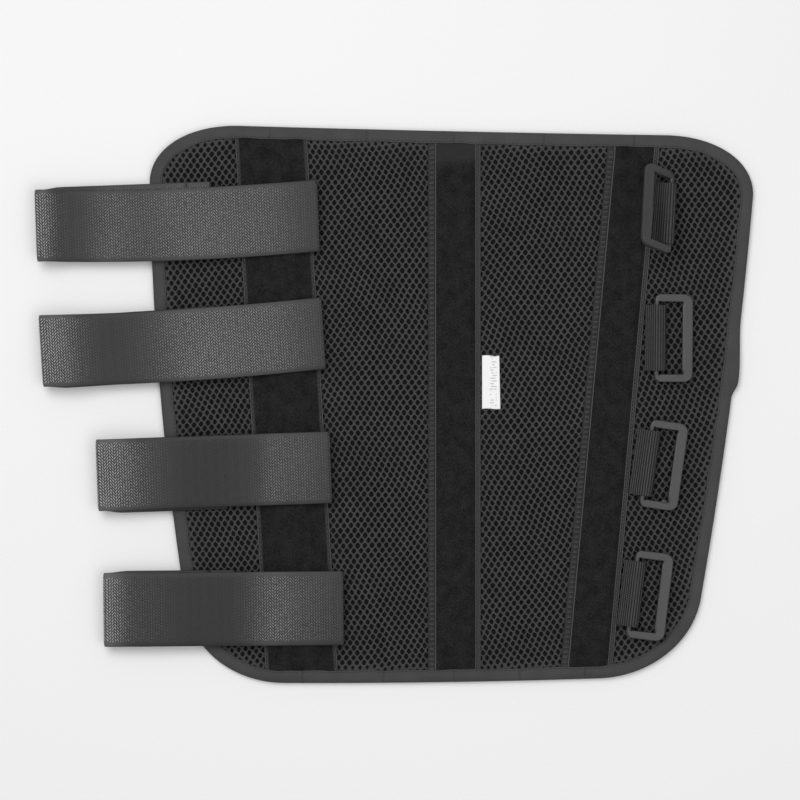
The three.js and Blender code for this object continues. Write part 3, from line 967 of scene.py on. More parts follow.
@dataclass
class Layout:
    """What every sub-assembly of the brace is placed by: the panel's shape, its rim and its strips."""

    shape: PanelShape = field(default_factory=PanelShape)

    def __post_init__(self) -> None:
        """Works out the rim and the strips."""
        self.rim = self.shape.rim()
        self.strips = panel_strips()
        self.corner_places = [self.rim.nearest(c) for c in self.shape.corners()]

    def edges(self, strip: Strip) -> tuple[float, float, float, float]:
        """Four distances along the rim, anticlockwise from the strip's wide end on the left.

        They are the ends of the strip's left side, at the wide and then the narrow end, and of its right
        side, at the narrow and then the wide end. A flap's outer side runs from round corner to round corner.
        """
        wide_left, narrow_left, narrow_right, wide_right = self.corner_places
        if strip.left is not None:
            wide_left, narrow_left = self.rim.crossings(strip.left)
        if strip.right is not None:
            wide_right, narrow_right = self.rim.crossings(strip.right)
        return wide_left, narrow_left, narrow_right, wide_right

    def patch(self, strip: Strip, inset: float, rows: int, columns: int) -> Array:
        """A grid of points that fills a strip: a Coons patch between its four sides.

        Args:
            strip: the strip of the panel.
            inset: how far inside the rim the patch ends.
            rows: points from the narrow end to the wide end.
            columns: points from left to right.

        Returns:
            rows x columns x 2 points in mm.
        """
        wide_left, narrow_left, narrow_right, wide_right = self.edges(strip)
        rim = self.rim
        bottom = rim.run(narrow_left, narrow_right, columns, inset)
        top = rim.run(wide_right, wide_left, columns, inset)[::-1]
        v = np.linspace(0.0, 1.0, rows)[:, None]
        left = bottom[0] + (top[0] - bottom[0]) * v
        right = bottom[-1] + (top[-1] - bottom[-1]) * v
        if strip.left is None:
            left = rim.run(wide_left, narrow_left, rows, inset)[::-1]
        if strip.right is None:
            right = rim.run(narrow_right, wide_right, rows, inset)
        u, v = np.linspace(0.0, 1.0, columns)[None, :, None], v[:, None]
        corners = (1 - v) * ((1 - u) * bottom[0] + u * bottom[-1]) + v * ((1 - u) * top[0] + u * top[-1])
        return (1 - v) * bottom[None] + v * top[None] + (1 - u) * left[:, None] + u * right[:, None] - corners

    def sleeve_gap(self, x: Array, y: Array) -> Array:
        """How far points lie outside the nearest sleeve's edge, and less than 0 under a sleeve."""
        return np.min([np.abs(s.line.right_of(x, y)) - s.width / 2.0 for s in SLEEVES], axis=0)


# ---- The panel ----


@dataclass
class MeshCover:
    """The spacer mesh that shows between the sleeves: real yarn cells round real holes.

    Attributes:
        pitch_x: distance between holes in a row.
        pitch_y: distance between rows, each half a pitch to the side of the last.
        hole_x: a hole's half width.
        hole_y: a hole's half height.
        level: the mesh's height over the skin face.
        tucked: its height under the binding's lip.
        crown: how far the yarn between holes stands over that level.
        wall: how far it reaches down inside a hole.
        least: the least height of any yarn, just over the foam.
        raster_step: the distance between the points where the depth inside the rim is kept.
        turns: how far the knit is turned in each field between sleeves, in degrees.
    """

    layout: Layout
    wardrobe: Wardrobe
    pitch_x: float = 4.8
    pitch_y: float = 3.5
    hole_x: float = 1.45
    hole_y: float = 2.05
    level: float = 5.0
    tucked: float = 4.35
    crown: float = 0.28
    wall: float = 1.0
    least: float = 3.88
    raster_step: float = 2.5
    turns: tuple[float, ...] = (4.5, 3.5, 6.0, 8.0)

    def __post_init__(self) -> None:
        """Keeps the cover's height on an even raster, to be read in between."""
        self.raster_x = np.arange(-225.0, 226.0, self.raster_step)
        self.raster_y = np.arange(-202.5, 203.0, self.raster_step)
        x, y = np.meshgrid(self.raster_x, self.raster_y)
        self.depths = self.layout.rim.depth(x, y)

    def read(self, raster: Array, x: Array, y: Array) -> Array:
        """A raster's value at any points, as a mean of the four nearest by how near they are."""
        column = np.clip((x - self.raster_x[0]) / self.raster_step, 0, len(self.raster_x) - 1.001)
        row = np.clip((y - self.raster_y[0]) / self.raster_step, 0, len(self.raster_y) - 1.001)
        i, j = row.astype(int), column.astype(int)
        v, u = row - i, column - j
        low = raster[i, j] * (1 - u) + raster[i, j + 1] * u
        high = raster[i + 1, j] * (1 - u) + raster[i + 1, j + 1] * u
        return low * (1 - v) + high * v

    def height(self, x: Array, y: Array) -> Array:
        """The cover's height: tucked under the lip, dimpled by the sleeves and puckered at the narrow end."""
        depth = self.read(self.depths, x, y)
        gap = self.layout.sleeve_gap(x, y)
        risen = self.tucked + (self.level - self.tucked) * ease((depth - 8.5) / 6.0)
        field_crown = 0.3 * ease((depth - 12.0) / 20.0) * ease(gap / 14.0)
        dimple = -0.35 * np.exp(-((gap / 3.0) ** 2))
        slow = 0.1 * np.sin(x / 13.0 + 1.3 * np.sin(y / 29.0)) * np.sin(y / 17.0 + x / 41.0)
        low_end = ease((-y - 120.0) / 30.0)
        pucker = 0.3 * np.sin(x / 2.1 + 2.0 * np.sin(x / 23.0)) * swell(depth, 14.0, 4.5) * low_end
        shown = ease((depth - 9.0) / 4.0)
        return risen + (field_crown + slow + pucker) * shown + dimple * shown

    def warp(self, x: Array, y: Array) -> tuple[Array, Array]:
        """Pulls the knit about a little, as hand sewing does, by slow sines of a millimetre or two."""
        moved_x = x + 1.3 * np.sin(y / 17.0 + x / 45.0) + 0.5 * np.sin(y / 6.5 + x / 19.0)
        moved_y = y + 1.2 * np.sin(x / 15.0 - y / 60.0) + 0.4 * np.sin(x / 7.0 + y / 33.0)
        return moved_x, moved_y

    def cells(self, turn: float, pivot: float, left: float, right: float) -> tuple[Array, Array]:
        """The middles of a field's cells on the knit's own grid, and where they end up on the panel.

        Args:
            turn: how far the knit is turned, in degrees.
            pivot: the x that it is turned about.
            left: the field's least x.
            right: its greatest x.

        Returns:
            The cells' middles on the grid, and on the panel.
        """
        reach = 260.0
        rows = int(2 * reach / self.pitch_y)
        columns = int((right - left + 90.0) / self.pitch_x)
        row, column = np.mgrid[0:rows, 0:columns]
        grid_x = (column - columns // 2 + 0.5 * (row % 2)) * self.pitch_x
        grid_y = (row - rows // 2) * self.pitch_y
        grid = table(grid_x, grid_y).reshape(-1, 2)
        return grid, self.laid(grid, turn, pivot)

    def laid(self, grid: Array, turn: float, pivot: float) -> Array:
        """Turns points of the knit's own grid, sets them down about a pivot and warps them."""
        angle = math.radians(turn)
        x = pivot + grid[..., 0] * math.cos(angle) - grid[..., 1] * math.sin(angle)
        y = grid[..., 0] * math.sin(angle) + grid[..., 1] * math.cos(angle)
        return table(*self.warp(x, y))

    def cell_rings(self, grid: Array, snug: Array) -> Array:
        """Four rings of twelve points round each cell's middle, on the knit's own grid.

        The outer ring is the six-sided cell with each side halved; its corners are as far from three holes.
        The next lies midway to the hole, the third is the hole, a soft diamond, and the last its lower edge.

        Args:
            grid: the cells' middles.
            snug: for each cell, the share of the full size that its hole has.

        Returns:
            cells x 4 x 12 x 2 points.
        """
        half_x, half_y = self.pitch_x / 2.0, self.pitch_y
        near = (half_y**2 - half_x**2) / (2.0 * half_y)
        far = half_y - near
        corners = np.array([
            (half_x, near), (0.0, far), (-half_x, near), (-half_x, -near), (0.0, -far), (half_x, -near)])
        halves = (corners + np.roll(corners, -1, axis=0)) / 2.0
        outer = np.stack([corners, halves], axis=1).reshape(-1, 2)
        turn = np.arctan2(outer[:, 1] / self.hole_y, outer[:, 0] / self.hole_x)
        cosine, sine = np.cos(turn), np.sin(turn)
        pointed = table(np.sign(cosine) * np.abs(cosine) ** 1.25, np.sign(sine) * np.abs(sine) ** 1.25)
        hole = (pointed * (self.hole_x, self.hole_y))[None] * snug[:, None, None]
        outer = np.broadcast_to(outer, hole.shape)
        rings = np.stack([outer, 0.5 * outer + 0.5 * hole, hole, 0.92 * hole], axis=1)
        return grid[:, None, None] + rings

    def knit(self, grid: Array, turn: float, pivot: float, seed: int) -> Shell:
        """The yarn round some cells, joined along the cells' borders.

        Args:
            grid: the cells' middles on the knit's own grid.
            turn: how far the knit is turned, in degrees.
            pivot: the x that it is turned about.
            seed: for the holes' small differences in size.

        Returns:
            The open mesh, with 36 faces to a cell.
        """
        middle = self.laid(grid, turn, pivot)
        depth = self.read(self.depths, middle[:, 0], middle[:, 1])
        pulled = 0.66 + 0.34 * ease((depth - 8.0) / 7.0)
        snug = pulled * np.random.default_rng(seed).uniform(0.9, 1.06, len(grid))
        rings = self.cell_rings(grid, snug)
        border = np.round(rings[:, 0].reshape(-1, 2) * 20.0).astype(int)
        _, first, number = np.unique(border, axis=0, return_index=True, return_inverse=True)
        flat = np.concatenate([rings[:, 0].reshape(-1, 2)[first], rings[:, 1:].reshape(-1, 2)])
        panel = self.laid(flat, turn, pivot)
        level = self.height(panel[:, 0], panel[:, 1])
        level[: len(first)] += self.crown
        level[len(first) :] += np.tile(np.repeat([0.55 * self.crown, -0.22, -self.wall], 12), len(grid))
        inner = len(first) + np.arange(len(grid) * 36).reshape(len(grid), 3, 12)
        numbers = np.concatenate([number.reshape(len(grid), 1, 12), inner], axis=1)
        onwards = np.roll(numbers, -1, axis=2)
        quads = np.stack([numbers[:, :-1], onwards[:, :-1], onwards[:, 1:], numbers[:, 1:]], axis=-1)
        points = table(panel[:, 0], panel[:, 1], np.maximum(level, self.least))
        return Shell(points, quads.reshape(-1, 4), flat)

    def build(self) -> list[Piece]:
        """Makes one piece of mesh for each strip of the panel."""
        layout = self.layout
        pivots = (-170.0, -58.0, 55.0, 165.0)
        spans = ((-230.0, -105.0), (-132.0, 2.0), (-2.0, 128.0), (90.0, 225.0))
        fields = {
            "strap_flap": 0, "strap_side": 1, "inner_left": 1,
            "inner_right": 2, "ring_side": 2, "ring_flap": 3,
        }
        pieces = []
        for number, strip in enumerate(layout.strips):
            turn, pivot = self.turns[fields[strip.name]], pivots[fields[strip.name]]
            grid, middle = self.cells(turn, pivot, *spans[fields[strip.name]])
            x, y = middle[:, 0], middle[:, 1]
            kept = self.read(self.depths, x, y) > 5.0
            kept &= (np.abs(x) < 224.0) & (np.abs(y) < 201.0)
            kept &= layout.sleeve_gap(x, y) > -3.0
            if strip.left is not None:
                kept &= strip.left.right_of(x, y) > 0
            if strip.right is not None:
                kept &= strip.right.right_of(x, y) <= 0
            shell = self.knit(grid[kept], turn, pivot, seed=11 + number)
            cells = int(kept.sum())
            # Painted shade: full light on the cells' borders, darker down into each hole and black at its
            # lower edge.
            painted_hole_shade = np.ones(len(shell.points))
            painted_hole_shade[-36 * cells :] = np.tile(np.repeat([0.85, 0.45, 0.0], 12), cells)
            cover = self.wardrobe.take(Dress.COVER)
            piece = make_piece(f"mesh_{strip.name}", shell, cover, painted_hole_shade)
            bend_across(piece)
            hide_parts(*(f"cover_{s}" for s in strip.sections))
            pieces.append(piece)
        return pieces


@dataclass
class Padding:
    """The foam that fills the panel and the brushed lining that lies against the skin.

    Attributes:
        spacing: the distance between points across a strip.
        foam: the heights of the foam's underside and top.
        lining: the same for the lining.
        foam_inset: how far inside the rim the foam ends.
        lining_inset: how far inside the rim the lining ends.
        quilting: how far the sleeves' seams draw the lining up.
    """

    layout: Layout
    wardrobe: Wardrobe
    spacing: float = 2.4
    foam: tuple[float, float] = (1.0, 3.8)
    lining: tuple[float, float] = (0.12, 0.9)
    foam_inset: float = 2.6
    lining_inset: float = 9.2
    quilting: float = 0.5

    def columns(self, strip: Strip) -> int:
        """How many points to lay across a strip."""
        left = -self.layout.shape.top_left if strip.left is None else strip.left.x
        right = self.layout.shape.top_right if strip.right is None else strip.right.x
        return int((right - left) / self.spacing)

    def foam_piece(self, strip: Strip) -> Piece:
        """A strip of foam between the lining and the mesh."""
        grid = self.layout.patch(strip, self.foam_inset, 90, self.columns(strip))
        upper = table(grid[..., 0], grid[..., 1], self.foam[1])
        lower = table(grid[..., 0], grid[..., 1], self.foam[0])
        shell = slab(upper, lower, grid)
        piece = make_piece(f"foam_{strip.name}", shell, self.wardrobe.take(Dress.CORE))
        bend_across(piece)
        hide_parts(*(f"core_{s}" for s in strip.sections))
        return piece

    def lining_piece(self, strip: Strip) -> Piece:
        """A strip of lining: it lies flat on the skin and is drawn up along the sleeves' seams."""
        grid = self.layout.patch(strip, self.lining_inset, 100, self.columns(strip))
        x, y = grid[..., 0], grid[..., 1]
        drawn = self.quilting * np.exp(-((self.layout.sleeve_gap(x, y) / 2.6) ** 2))
        upper = table(x, y, self.lining[1])
        lower = table(x, y, self.lining[0] + drawn)
        shell = slab(upper, lower, grid)
        piece = make_piece(f"lining_{strip.name}", shell, self.wardrobe.take(Dress.LINING))
        bend_across(piece)
        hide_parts(*(f"lining_{s}" for s in strip.sections))
        return piece

    def build(self) -> list[Piece]:
        """Makes the foam and the lining of every strip."""
        foams = [self.foam_piece(s) for s in self.layout.strips]
        return foams + [self.lining_piece(s) for s in self.layout.strips]


@dataclass
class EdgeBinding:
    """A folded tape that wraps the panel's edge, with its ends lapped on the ring side.

    Attributes:
        top: the height of its outer lip.
        wall: the tape's thickness.
        sleeve_rise: how far it climbs over a sleeve's end.
        lap_y: where its ends overlap.
        lap_out: how far the overlap sticks out.
        lap_above: how far above lap_y the overlap rises from the edge.
        lap_below: how far below it the overlap falls back.
        station: the distance between the tape's cross-sections.
        stitch: a stitch's length and the gap after it.
    """

    layout: Layout
    wardrobe: Wardrobe
    top: float = 5.45
    wall: float = 0.75
    sleeve_rise: float = 1.55
    lap_y: float = 16.0
    lap_out: float = 3.5
    lap_above: float = 45.0
    lap_below: float = 12.0
    station: float = 1.8
    stitch: tuple[float, float] = (1.9, 1.0)

    def outer_profile(self) -> tuple[Array, Array]:
        """Depths inside the rim and shares of the top's height, from the outer lip's edge to the inner's."""
        depth = np.array([
            9.0, 8.7, 8.3, 7.8, 7.2, 5.0, 3.4, 1.9, 0.8, 0.2,
            0.0, 0.2, 0.8, 1.9, 3.4, 6.2, 6.9, 7.6, 9.0])
        share = np.array([
            0.91, 0.99, 1.0, 0.975, 1.0, 1.015, 1.01, 0.97, 0.84, 0.66,
            0.48, 0.3, 0.13, 0.03, 0.0, 0.0, 0.03, 0.0, 0.03])
        return depth, share

    def lapped(self, x: Array, y: Array) -> Array:
        """From 0 to 1, how much the lap is there: a long rise from the wide end and a short fall below it."""
        above = ease(1.0 - (y - self.lap_y) / self.lap_above)
        below = ease(1.0 - (self.lap_y - y) / self.lap_below)
        return np.where(y > self.lap_y, above, below) * (x > 100.0)

    def sections(self, along: Array) -> tuple[Array, Array]:
        """The tape's outer and inner surfaces at distances along the rim.

        Args:
            along: distances along the rim.

        Returns:
            Two stations x profile x 3 grids in mm.
        """
        depth, share = self.outer_profile()
        rim = self.layout.rim
        base = rim.at(along)
        over = ease(1.0 - (self.layout.sleeve_gap(base[:, 0], base[:, 1]) - 0.5) / 5.0)[:, None]
        lap = self.lapped(base[:, 0], base[:, 1])[:, None]
        turn = 2.0 * np.pi * along / rim.length
        wavy = 0.25 * np.sin(34.0 * turn + 2.0 * np.sin(8.0 * turn)) + 0.15 * np.sin(77.0 * turn)
        lip = np.where(depth > 4.0, 1.0, 0.0)[None] * wavy[:, None]
        climb = self.sleeve_rise * over * ease((depth - 0.8) / 3.4)[None] * (share > 0.5)[None]
        slow = np.sin(27.0 * turn + 1.7 * np.sin(5.0 * turn))[:, None]
        swollen = 0.12 * slow * (share * (depth < 6.0))[None]
        doubled = 0.8 * ease(lap * 2.0 - 0.6) * (share > 0.5)[None]
        outward = self.lap_out * lap * ease(1.0 - depth / 9.0)[None]
        outer_depth = depth[None] + lip - outward
        outer_height = share[None] * self.top + climb + swollen + doubled
        thin = self.inner_shift(depth, share)
        inner_depth = np.maximum(outer_depth + thin[0][None], -9.0)
        inner_height = outer_height + thin[1][None]
        grids = []
        for inset, height in ((outer_depth, outer_height), (inner_depth, inner_height)):
            place = rim.at(np.broadcast_to(along[:, None], inset.shape), inset)
            grids.append(table(place[..., 0], place[..., 1], height))
        return grids[0], grids[1]

    def inner_shift(self, depth: Array, share: Array) -> tuple[Array, Array]:
        """How far inwards and up the inner surface lies from the outer one, square to the profile."""
        height = share * self.top
        way = np.gradient(depth), np.gradient(height)
        length = np.hypot(*way)
        return -way[1] / length * self.wall, way[0] / length * self.wall

    def tape(self, start: float, end: float) -> Shell:
        """The tape and its stitches, anticlockwise from one distance along the rim to another."""
        span = (end - start) % self.layout.rim.length
        along = start + span * np.linspace(0.0, 1.0, max(int(span / self.station), 4))
        outer, inner = self.sections(along)
        profile = np.concatenate([[0.0], np.cumsum(np.linalg.norm(np.diff(outer[0], axis=0), axis=1))])
        cloth = table(along[:, None], profile[None])
        return joined(slab(outer, inner, cloth), *self.stitches(start, span))

    def stitches(self, start: float, span: float) -> list[Shell]:
        """Stitches along the groove of both lips, in thread darkened by painted shade where it sinks into the
        tape.
        """
        length, gap = self.stitch
        first = start + np.arange(0.5, span - length - 0.3, length + gap)
        made = []
        for column, lift in ((3, 0.05), (16, -0.05)):
            ends = [self.sections(first + extra)[0][:, column] + (0.0, 0.0, lift) for extra in (0.0, length)]
            made.append(threads(ends[0], ends[1], 0.24, 0.1 if lift > 0 else -0.1).dressed(1))
        return made

    def build(self) -> list[Piece]:
        """Makes the binding of each flap and of both ends of the strips between them."""
        layout, pieces = self.layout, []
        for strip in layout.strips:
            wide_left, narrow_left, narrow_right, wide_right = layout.edges(strip)
            if strip.left is None:
                runs = {"": (wide_right, narrow_right)}
            elif strip.right is None:
                runs = {"": (narrow_left, wide_left)}
            else:
                runs = {"_top": (wide_right, wide_left), "_bottom": (narrow_left, narrow_right)}
            for end, (first, last) in runs.items():
                materials = self.wardrobe.take(Dress.BINDING, Dress.SHADED_THREAD)
                piece = make_piece(f"edge_{strip.name}{end}", self.tape(first, last), materials)
                bend_across(piece)
                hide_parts(*self.stood_for(strip, end))
                pieces.append(piece)
        return pieces

    @staticmethod
    def stood_for(strip: Strip, end: str) -> list[str]:
        """The names of the CAD bindings that a length of tape stands for."""
        if end:
            return [f"binding_{s}{end}" for s in strip.sections]
        names = [f"binding_{s}" for s in strip.sections if s.endswith("flap")]
        sides = [s for s in strip.sections if s.endswith("side")]
        return names + [f"binding_{s}{e}" for s in sides for e in ("_top", "_bottom")]


# ---- Sleeves and stays ----


@dataclass
class Sleeve:
    """A tape of loop pile sewn down both sides over a metal stay.

    Attributes:
        shape: where the tape runs, its width and how its edges are sewn.
        bottom: the height of its underside.
        tape: its thickness.
        bulge: how far the stay lifts it.
        stay_half: half the width that is lifted.
        stay_end: the stay's ends, from y = 0 along the sleeve.
        sheen_start: how far along the sleeve the painted sheen at the wide end begins.
        sheen_reach: how far from there the painted sheen grows to its full strength.
    """

    shape: SleeveShape
    layout: Layout
    wardrobe: Wardrobe
    bottom: float = 5.3
    tape: float = 1.1
    bulge: float = 3.15
    stay_half: float = 11.2
    stay_end: float = 170.7
    sheen_start: float = 164.0
    sheen_reach: float = 14.0

    def ends(self, across: Array) -> tuple[Array, Array]:
        """How far along the sleeve its narrow and wide ends lie, 5 mm inside the rim, at places across it."""
        reach = []
        for shift in (-self.shape.width / 2.0, self.shape.width / 2.0):
            wide, narrow = self.layout.rim.crossings(self.shape.line.shifted(shift))
            points = self.layout.rim.at(np.array([narrow, wide]), 5.0)
            lean = math.radians(self.shape.lean)
            reach.append((points - (self.shape.x, 0.0)) @ (math.sin(lean), math.cos(lean)))
        share = across / self.shape.width + 0.5
        return tuple(reach[0][i] + (reach[1][i] - reach[0][i]) * share for i in (0, 1))

    def height(self, across: Array, along: Array) -> Array:
        """The height of the tape's pile: flat at its edges, lifted over the stay and thinned at its ends."""
        low, high = self.ends(across)
        over = ease((self.stay_half + 3.4 - np.abs(across)) / 3.4)
        over = over * ease((self.stay_end + 8.0 - np.abs(along)) / 10.0)
        crown = 0.35 * (1.0 - np.clip(np.abs(across) / self.stay_half, 0, 1) ** 2)
        ripple = 0.08 * np.sin(along / 8.0 + across / 9.0) * np.sin(across / 5.0 + along / 23.0)
        tucked = ease((np.minimum(along - low, high - along) - 2.5) / 8.0)
        rounded = 0.45 * swell(np.abs(across), self.shape.width / 2.0, 0.9)
        return self.bottom + 0.75 + 0.35 * tucked + (over * (self.bulge + crown) + ripple) * tucked - rounded

    def place(self, across: Array, along: Array, lift: float = 0.0) -> Array:
        """Points on the pile's surface, or some way above it."""
        x, y = self.shape.place(across, along)
        return table(x, y, self.height(across, along) + lift)

    def bands(self) -> tuple[float, float]:
        """How wide the woven edge is on the left and on the right."""
        widths = {Seam.PLAIN: 2.6, Seam.LADDER: 5.4, Seam.CHAIN: 3.2}
        return widths[self.shape.left_seam], widths[self.shape.right_seam]

    def tape_shell(self) -> Shell:
        """The tape itself, with pile in the middle and a woven edge on both sides."""
        half = self.shape.width / 2.0
        left, right = self.bands()
        edge = np.array([0.0, 0.5, 1.2])
        inner = np.linspace(-half + left, half - right, 30)
        columns = np.unique(np.concatenate([
            -half + edge, np.linspace(-half + 1.9, -half + left, 4), inner,
            np.linspace(half - right, half - 1.9, 3), half - edge]).round(4))
        low, high = self.ends(columns)
        along = low[None] + (high - low)[None] * np.linspace(0.0, 1.0, 150)[:, None]
        across = np.broadcast_to(columns, along.shape)
        upper = self.place(across, along)
        lower = upper - (0.0, 0.0, self.tape)
        lower[..., 2] = np.maximum(lower[..., 2], self.bottom)
        shell = slab(upper, lower, table(across, along))
        middle = (columns[1:] + columns[:-1]) / 2.0
        woven = ((middle < -half + left) | (middle > half - right)).astype(int)
        faces = np.broadcast_to(woven, (149, len(woven))).ravel()
        shell.finish = np.concatenate([faces, faces, np.ones(len(shell.quads) - 2 * len(faces), int)])
        return shell

    def cord(self, across: float, radius: float) -> Shell:
        """A round cord that runs along the tape, six-sided, its middle sunk by a third of its radius."""
        low, high = self.ends(np.array([across]))
        along = np.linspace(low[0] + 1.0, high[0] - 1.0, 190)
        middle = self.place(np.full_like(along, across), along, radius * 0.3)
        way = np.gradient(middle, axis=0)
        way = way / np.linalg.norm(way, axis=1, keepdims=True)
        side = np.cross(way, (0.0, 0.0, 1.0))
        up = np.cross(side, way)
        turn = -2.0 * np.pi * np.arange(6) / 6.0
        rings = middle[:, None] + radius * (
            side[:, None] * np.cos(turn)[None, :, None] + up[:, None] * np.sin(turn)[None, :, None])
        cloth = table(along[:, None], radius * turn[None])
        return tube(rings, cloth, closed=False)

    def stitch_rows(
        self, first: tuple[float, float], last: tuple[float, float], pitch: float
    ) -> tuple[Array, Array]:
        """Starts and ends of a row of stitches, repeated along the tape.

        Args:
            first: a stitch's start, across the tape and along it.
            last: its end, the same way.
            pitch: the distance from one stitch to the next.

        Returns:
            The starts and the ends as points in mm.
        """
        low, high = self.ends(np.array([first[0]]))
        steps = np.arange(low[0] + 4.0, high[0] - 5.0, pitch)
        lift = 0.16
        drift = 0.12 * np.sin(steps * 1.7)
        return tuple(self.place(across + drift, steps + along, lift) for across, along in (first, last))

    def seam_shells(self, seam: Seam, side: int) -> list[Shell]:
        """The threads that sew one edge down.

        Args:
            seam: how the edge is sewn.
            side: -1 for the left edge and 1 for the right edge.

        Returns:
            The threads' shells.
        """
        edge = side * self.shape.width / 2.0
        match seam:
            case Seam.LADDER:
                rungs = [((edge - side * 0.7, a), (edge - side * 4.6, a + 0.25), 3.5) for a in (0.0, 0.95)]
                shells = [threads(*self.stitch_rows(*r), 0.34) for r in rungs]
                return shells + [self.cord(edge - side * 5.3, 0.42)]
            case Seam.CHAIN:
                zig = ((edge - side * 0.9, 0.0), (edge - side * 2.4, 1.3), 2.6)
                zag = ((edge - side * 2.4, 1.3), (edge - side * 0.9, 2.6), 2.6)
                shells = [threads(*self.stitch_rows(*r), 0.32) for r in (zig, zag)]
                return shells + [self.cord(edge - side * 0.25, 0.36), self.cord(edge - side * 3.1, 0.36)]
            case Seam.PLAIN:
                running = ((edge - side * 1.5, 0.0), (edge - side * 1.5, 2.2), 3.2)
                return [threads(*self.stitch_rows(*running), 0.28)] + [self.cord(edge - side * 0.3, 0.34)]

    def skin_stitches(self) -> list[Shell]:
        """The same seams where they come through to the lining: running stitches in its drawn-up lines."""
        shells = []
        for side in (-1, 1):
            across = side * (self.shape.width / 2.0 - 1.0)
            low, high = self.ends(np.array([across]))
            along = np.arange(low[0] + 9.0, high[0] - 9.0, 3.4)
            places = [self.shape.place(np.full_like(along, across), along + a) for a in (0.0, 2.4)]
            ends = [table(*place, 0.45) for place in places]
            shells.append(threads(ends[0], ends[1], 0.26, -0.1))
        return shells

    def build(self) -> list[Piece]:
        """Makes the tape and its seams, and dresses the stay inside it."""
        name, body = self.shape.name, self.shape.body
        shell = self.tape_shell()
        # Painted sheen: the pile lighter at the wide end, where the tape slopes down to the binding.
        painted_sheen = self.shape.painted_sheen * ease((shell.cloth[:, 1] - self.sheen_start) / self.sheen_reach)
        dress = self.wardrobe.take(Dress.PILE, Dress.SELVAGE)
        tape = make_piece(f"sleeve_tape_{name}", shell, dress, painted_sheen)
        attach(tape, body)
        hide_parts(f"sleeve_{name}")
        seams = self.seam_shells(self.shape.left_seam, -1) + self.seam_shells(self.shape.right_seam, 1)
        sewing = joined(*seams, *self.skin_stitches())
        sewn = make_piece(f"sleeve_seams_{name}", sewing, self.wardrobe.take(Dress.THREAD))
        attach(sewn, body)
        stay = frame["nodes"][f"stay_{name}"]
        stay.data.materials.clear()
        stay.data.materials.append(self.wardrobe.take(Dress.STAY)[0])
        return [tape, sewn, stay]


# ---- Straps ----


@dataclass(frozen=True)
class Undulation:
    """A place where a strap's upper run rises or sinks.

    Attributes:
        x: where its middle is.
        reach: how far along the strap it spreads.
        rise: how far it lifts the strap, or lowers it below 0.
        edge: how much more it lifts the edge towards the wide end than the other one.
    """

    x: float
    reach: float
    rise: float
    edge: float = 0.0


@dataclass(frozen=True)
class Gleam:
    """A place where painted light makes a strap's hooks look as if they catch the light.

    Attributes:
        x: where its middle is.
        reach: how far along the strap it spreads.
        strength: how much the painted light lightens the hooks in its middle.
    """

    x: float
    reach: float
    strength: float


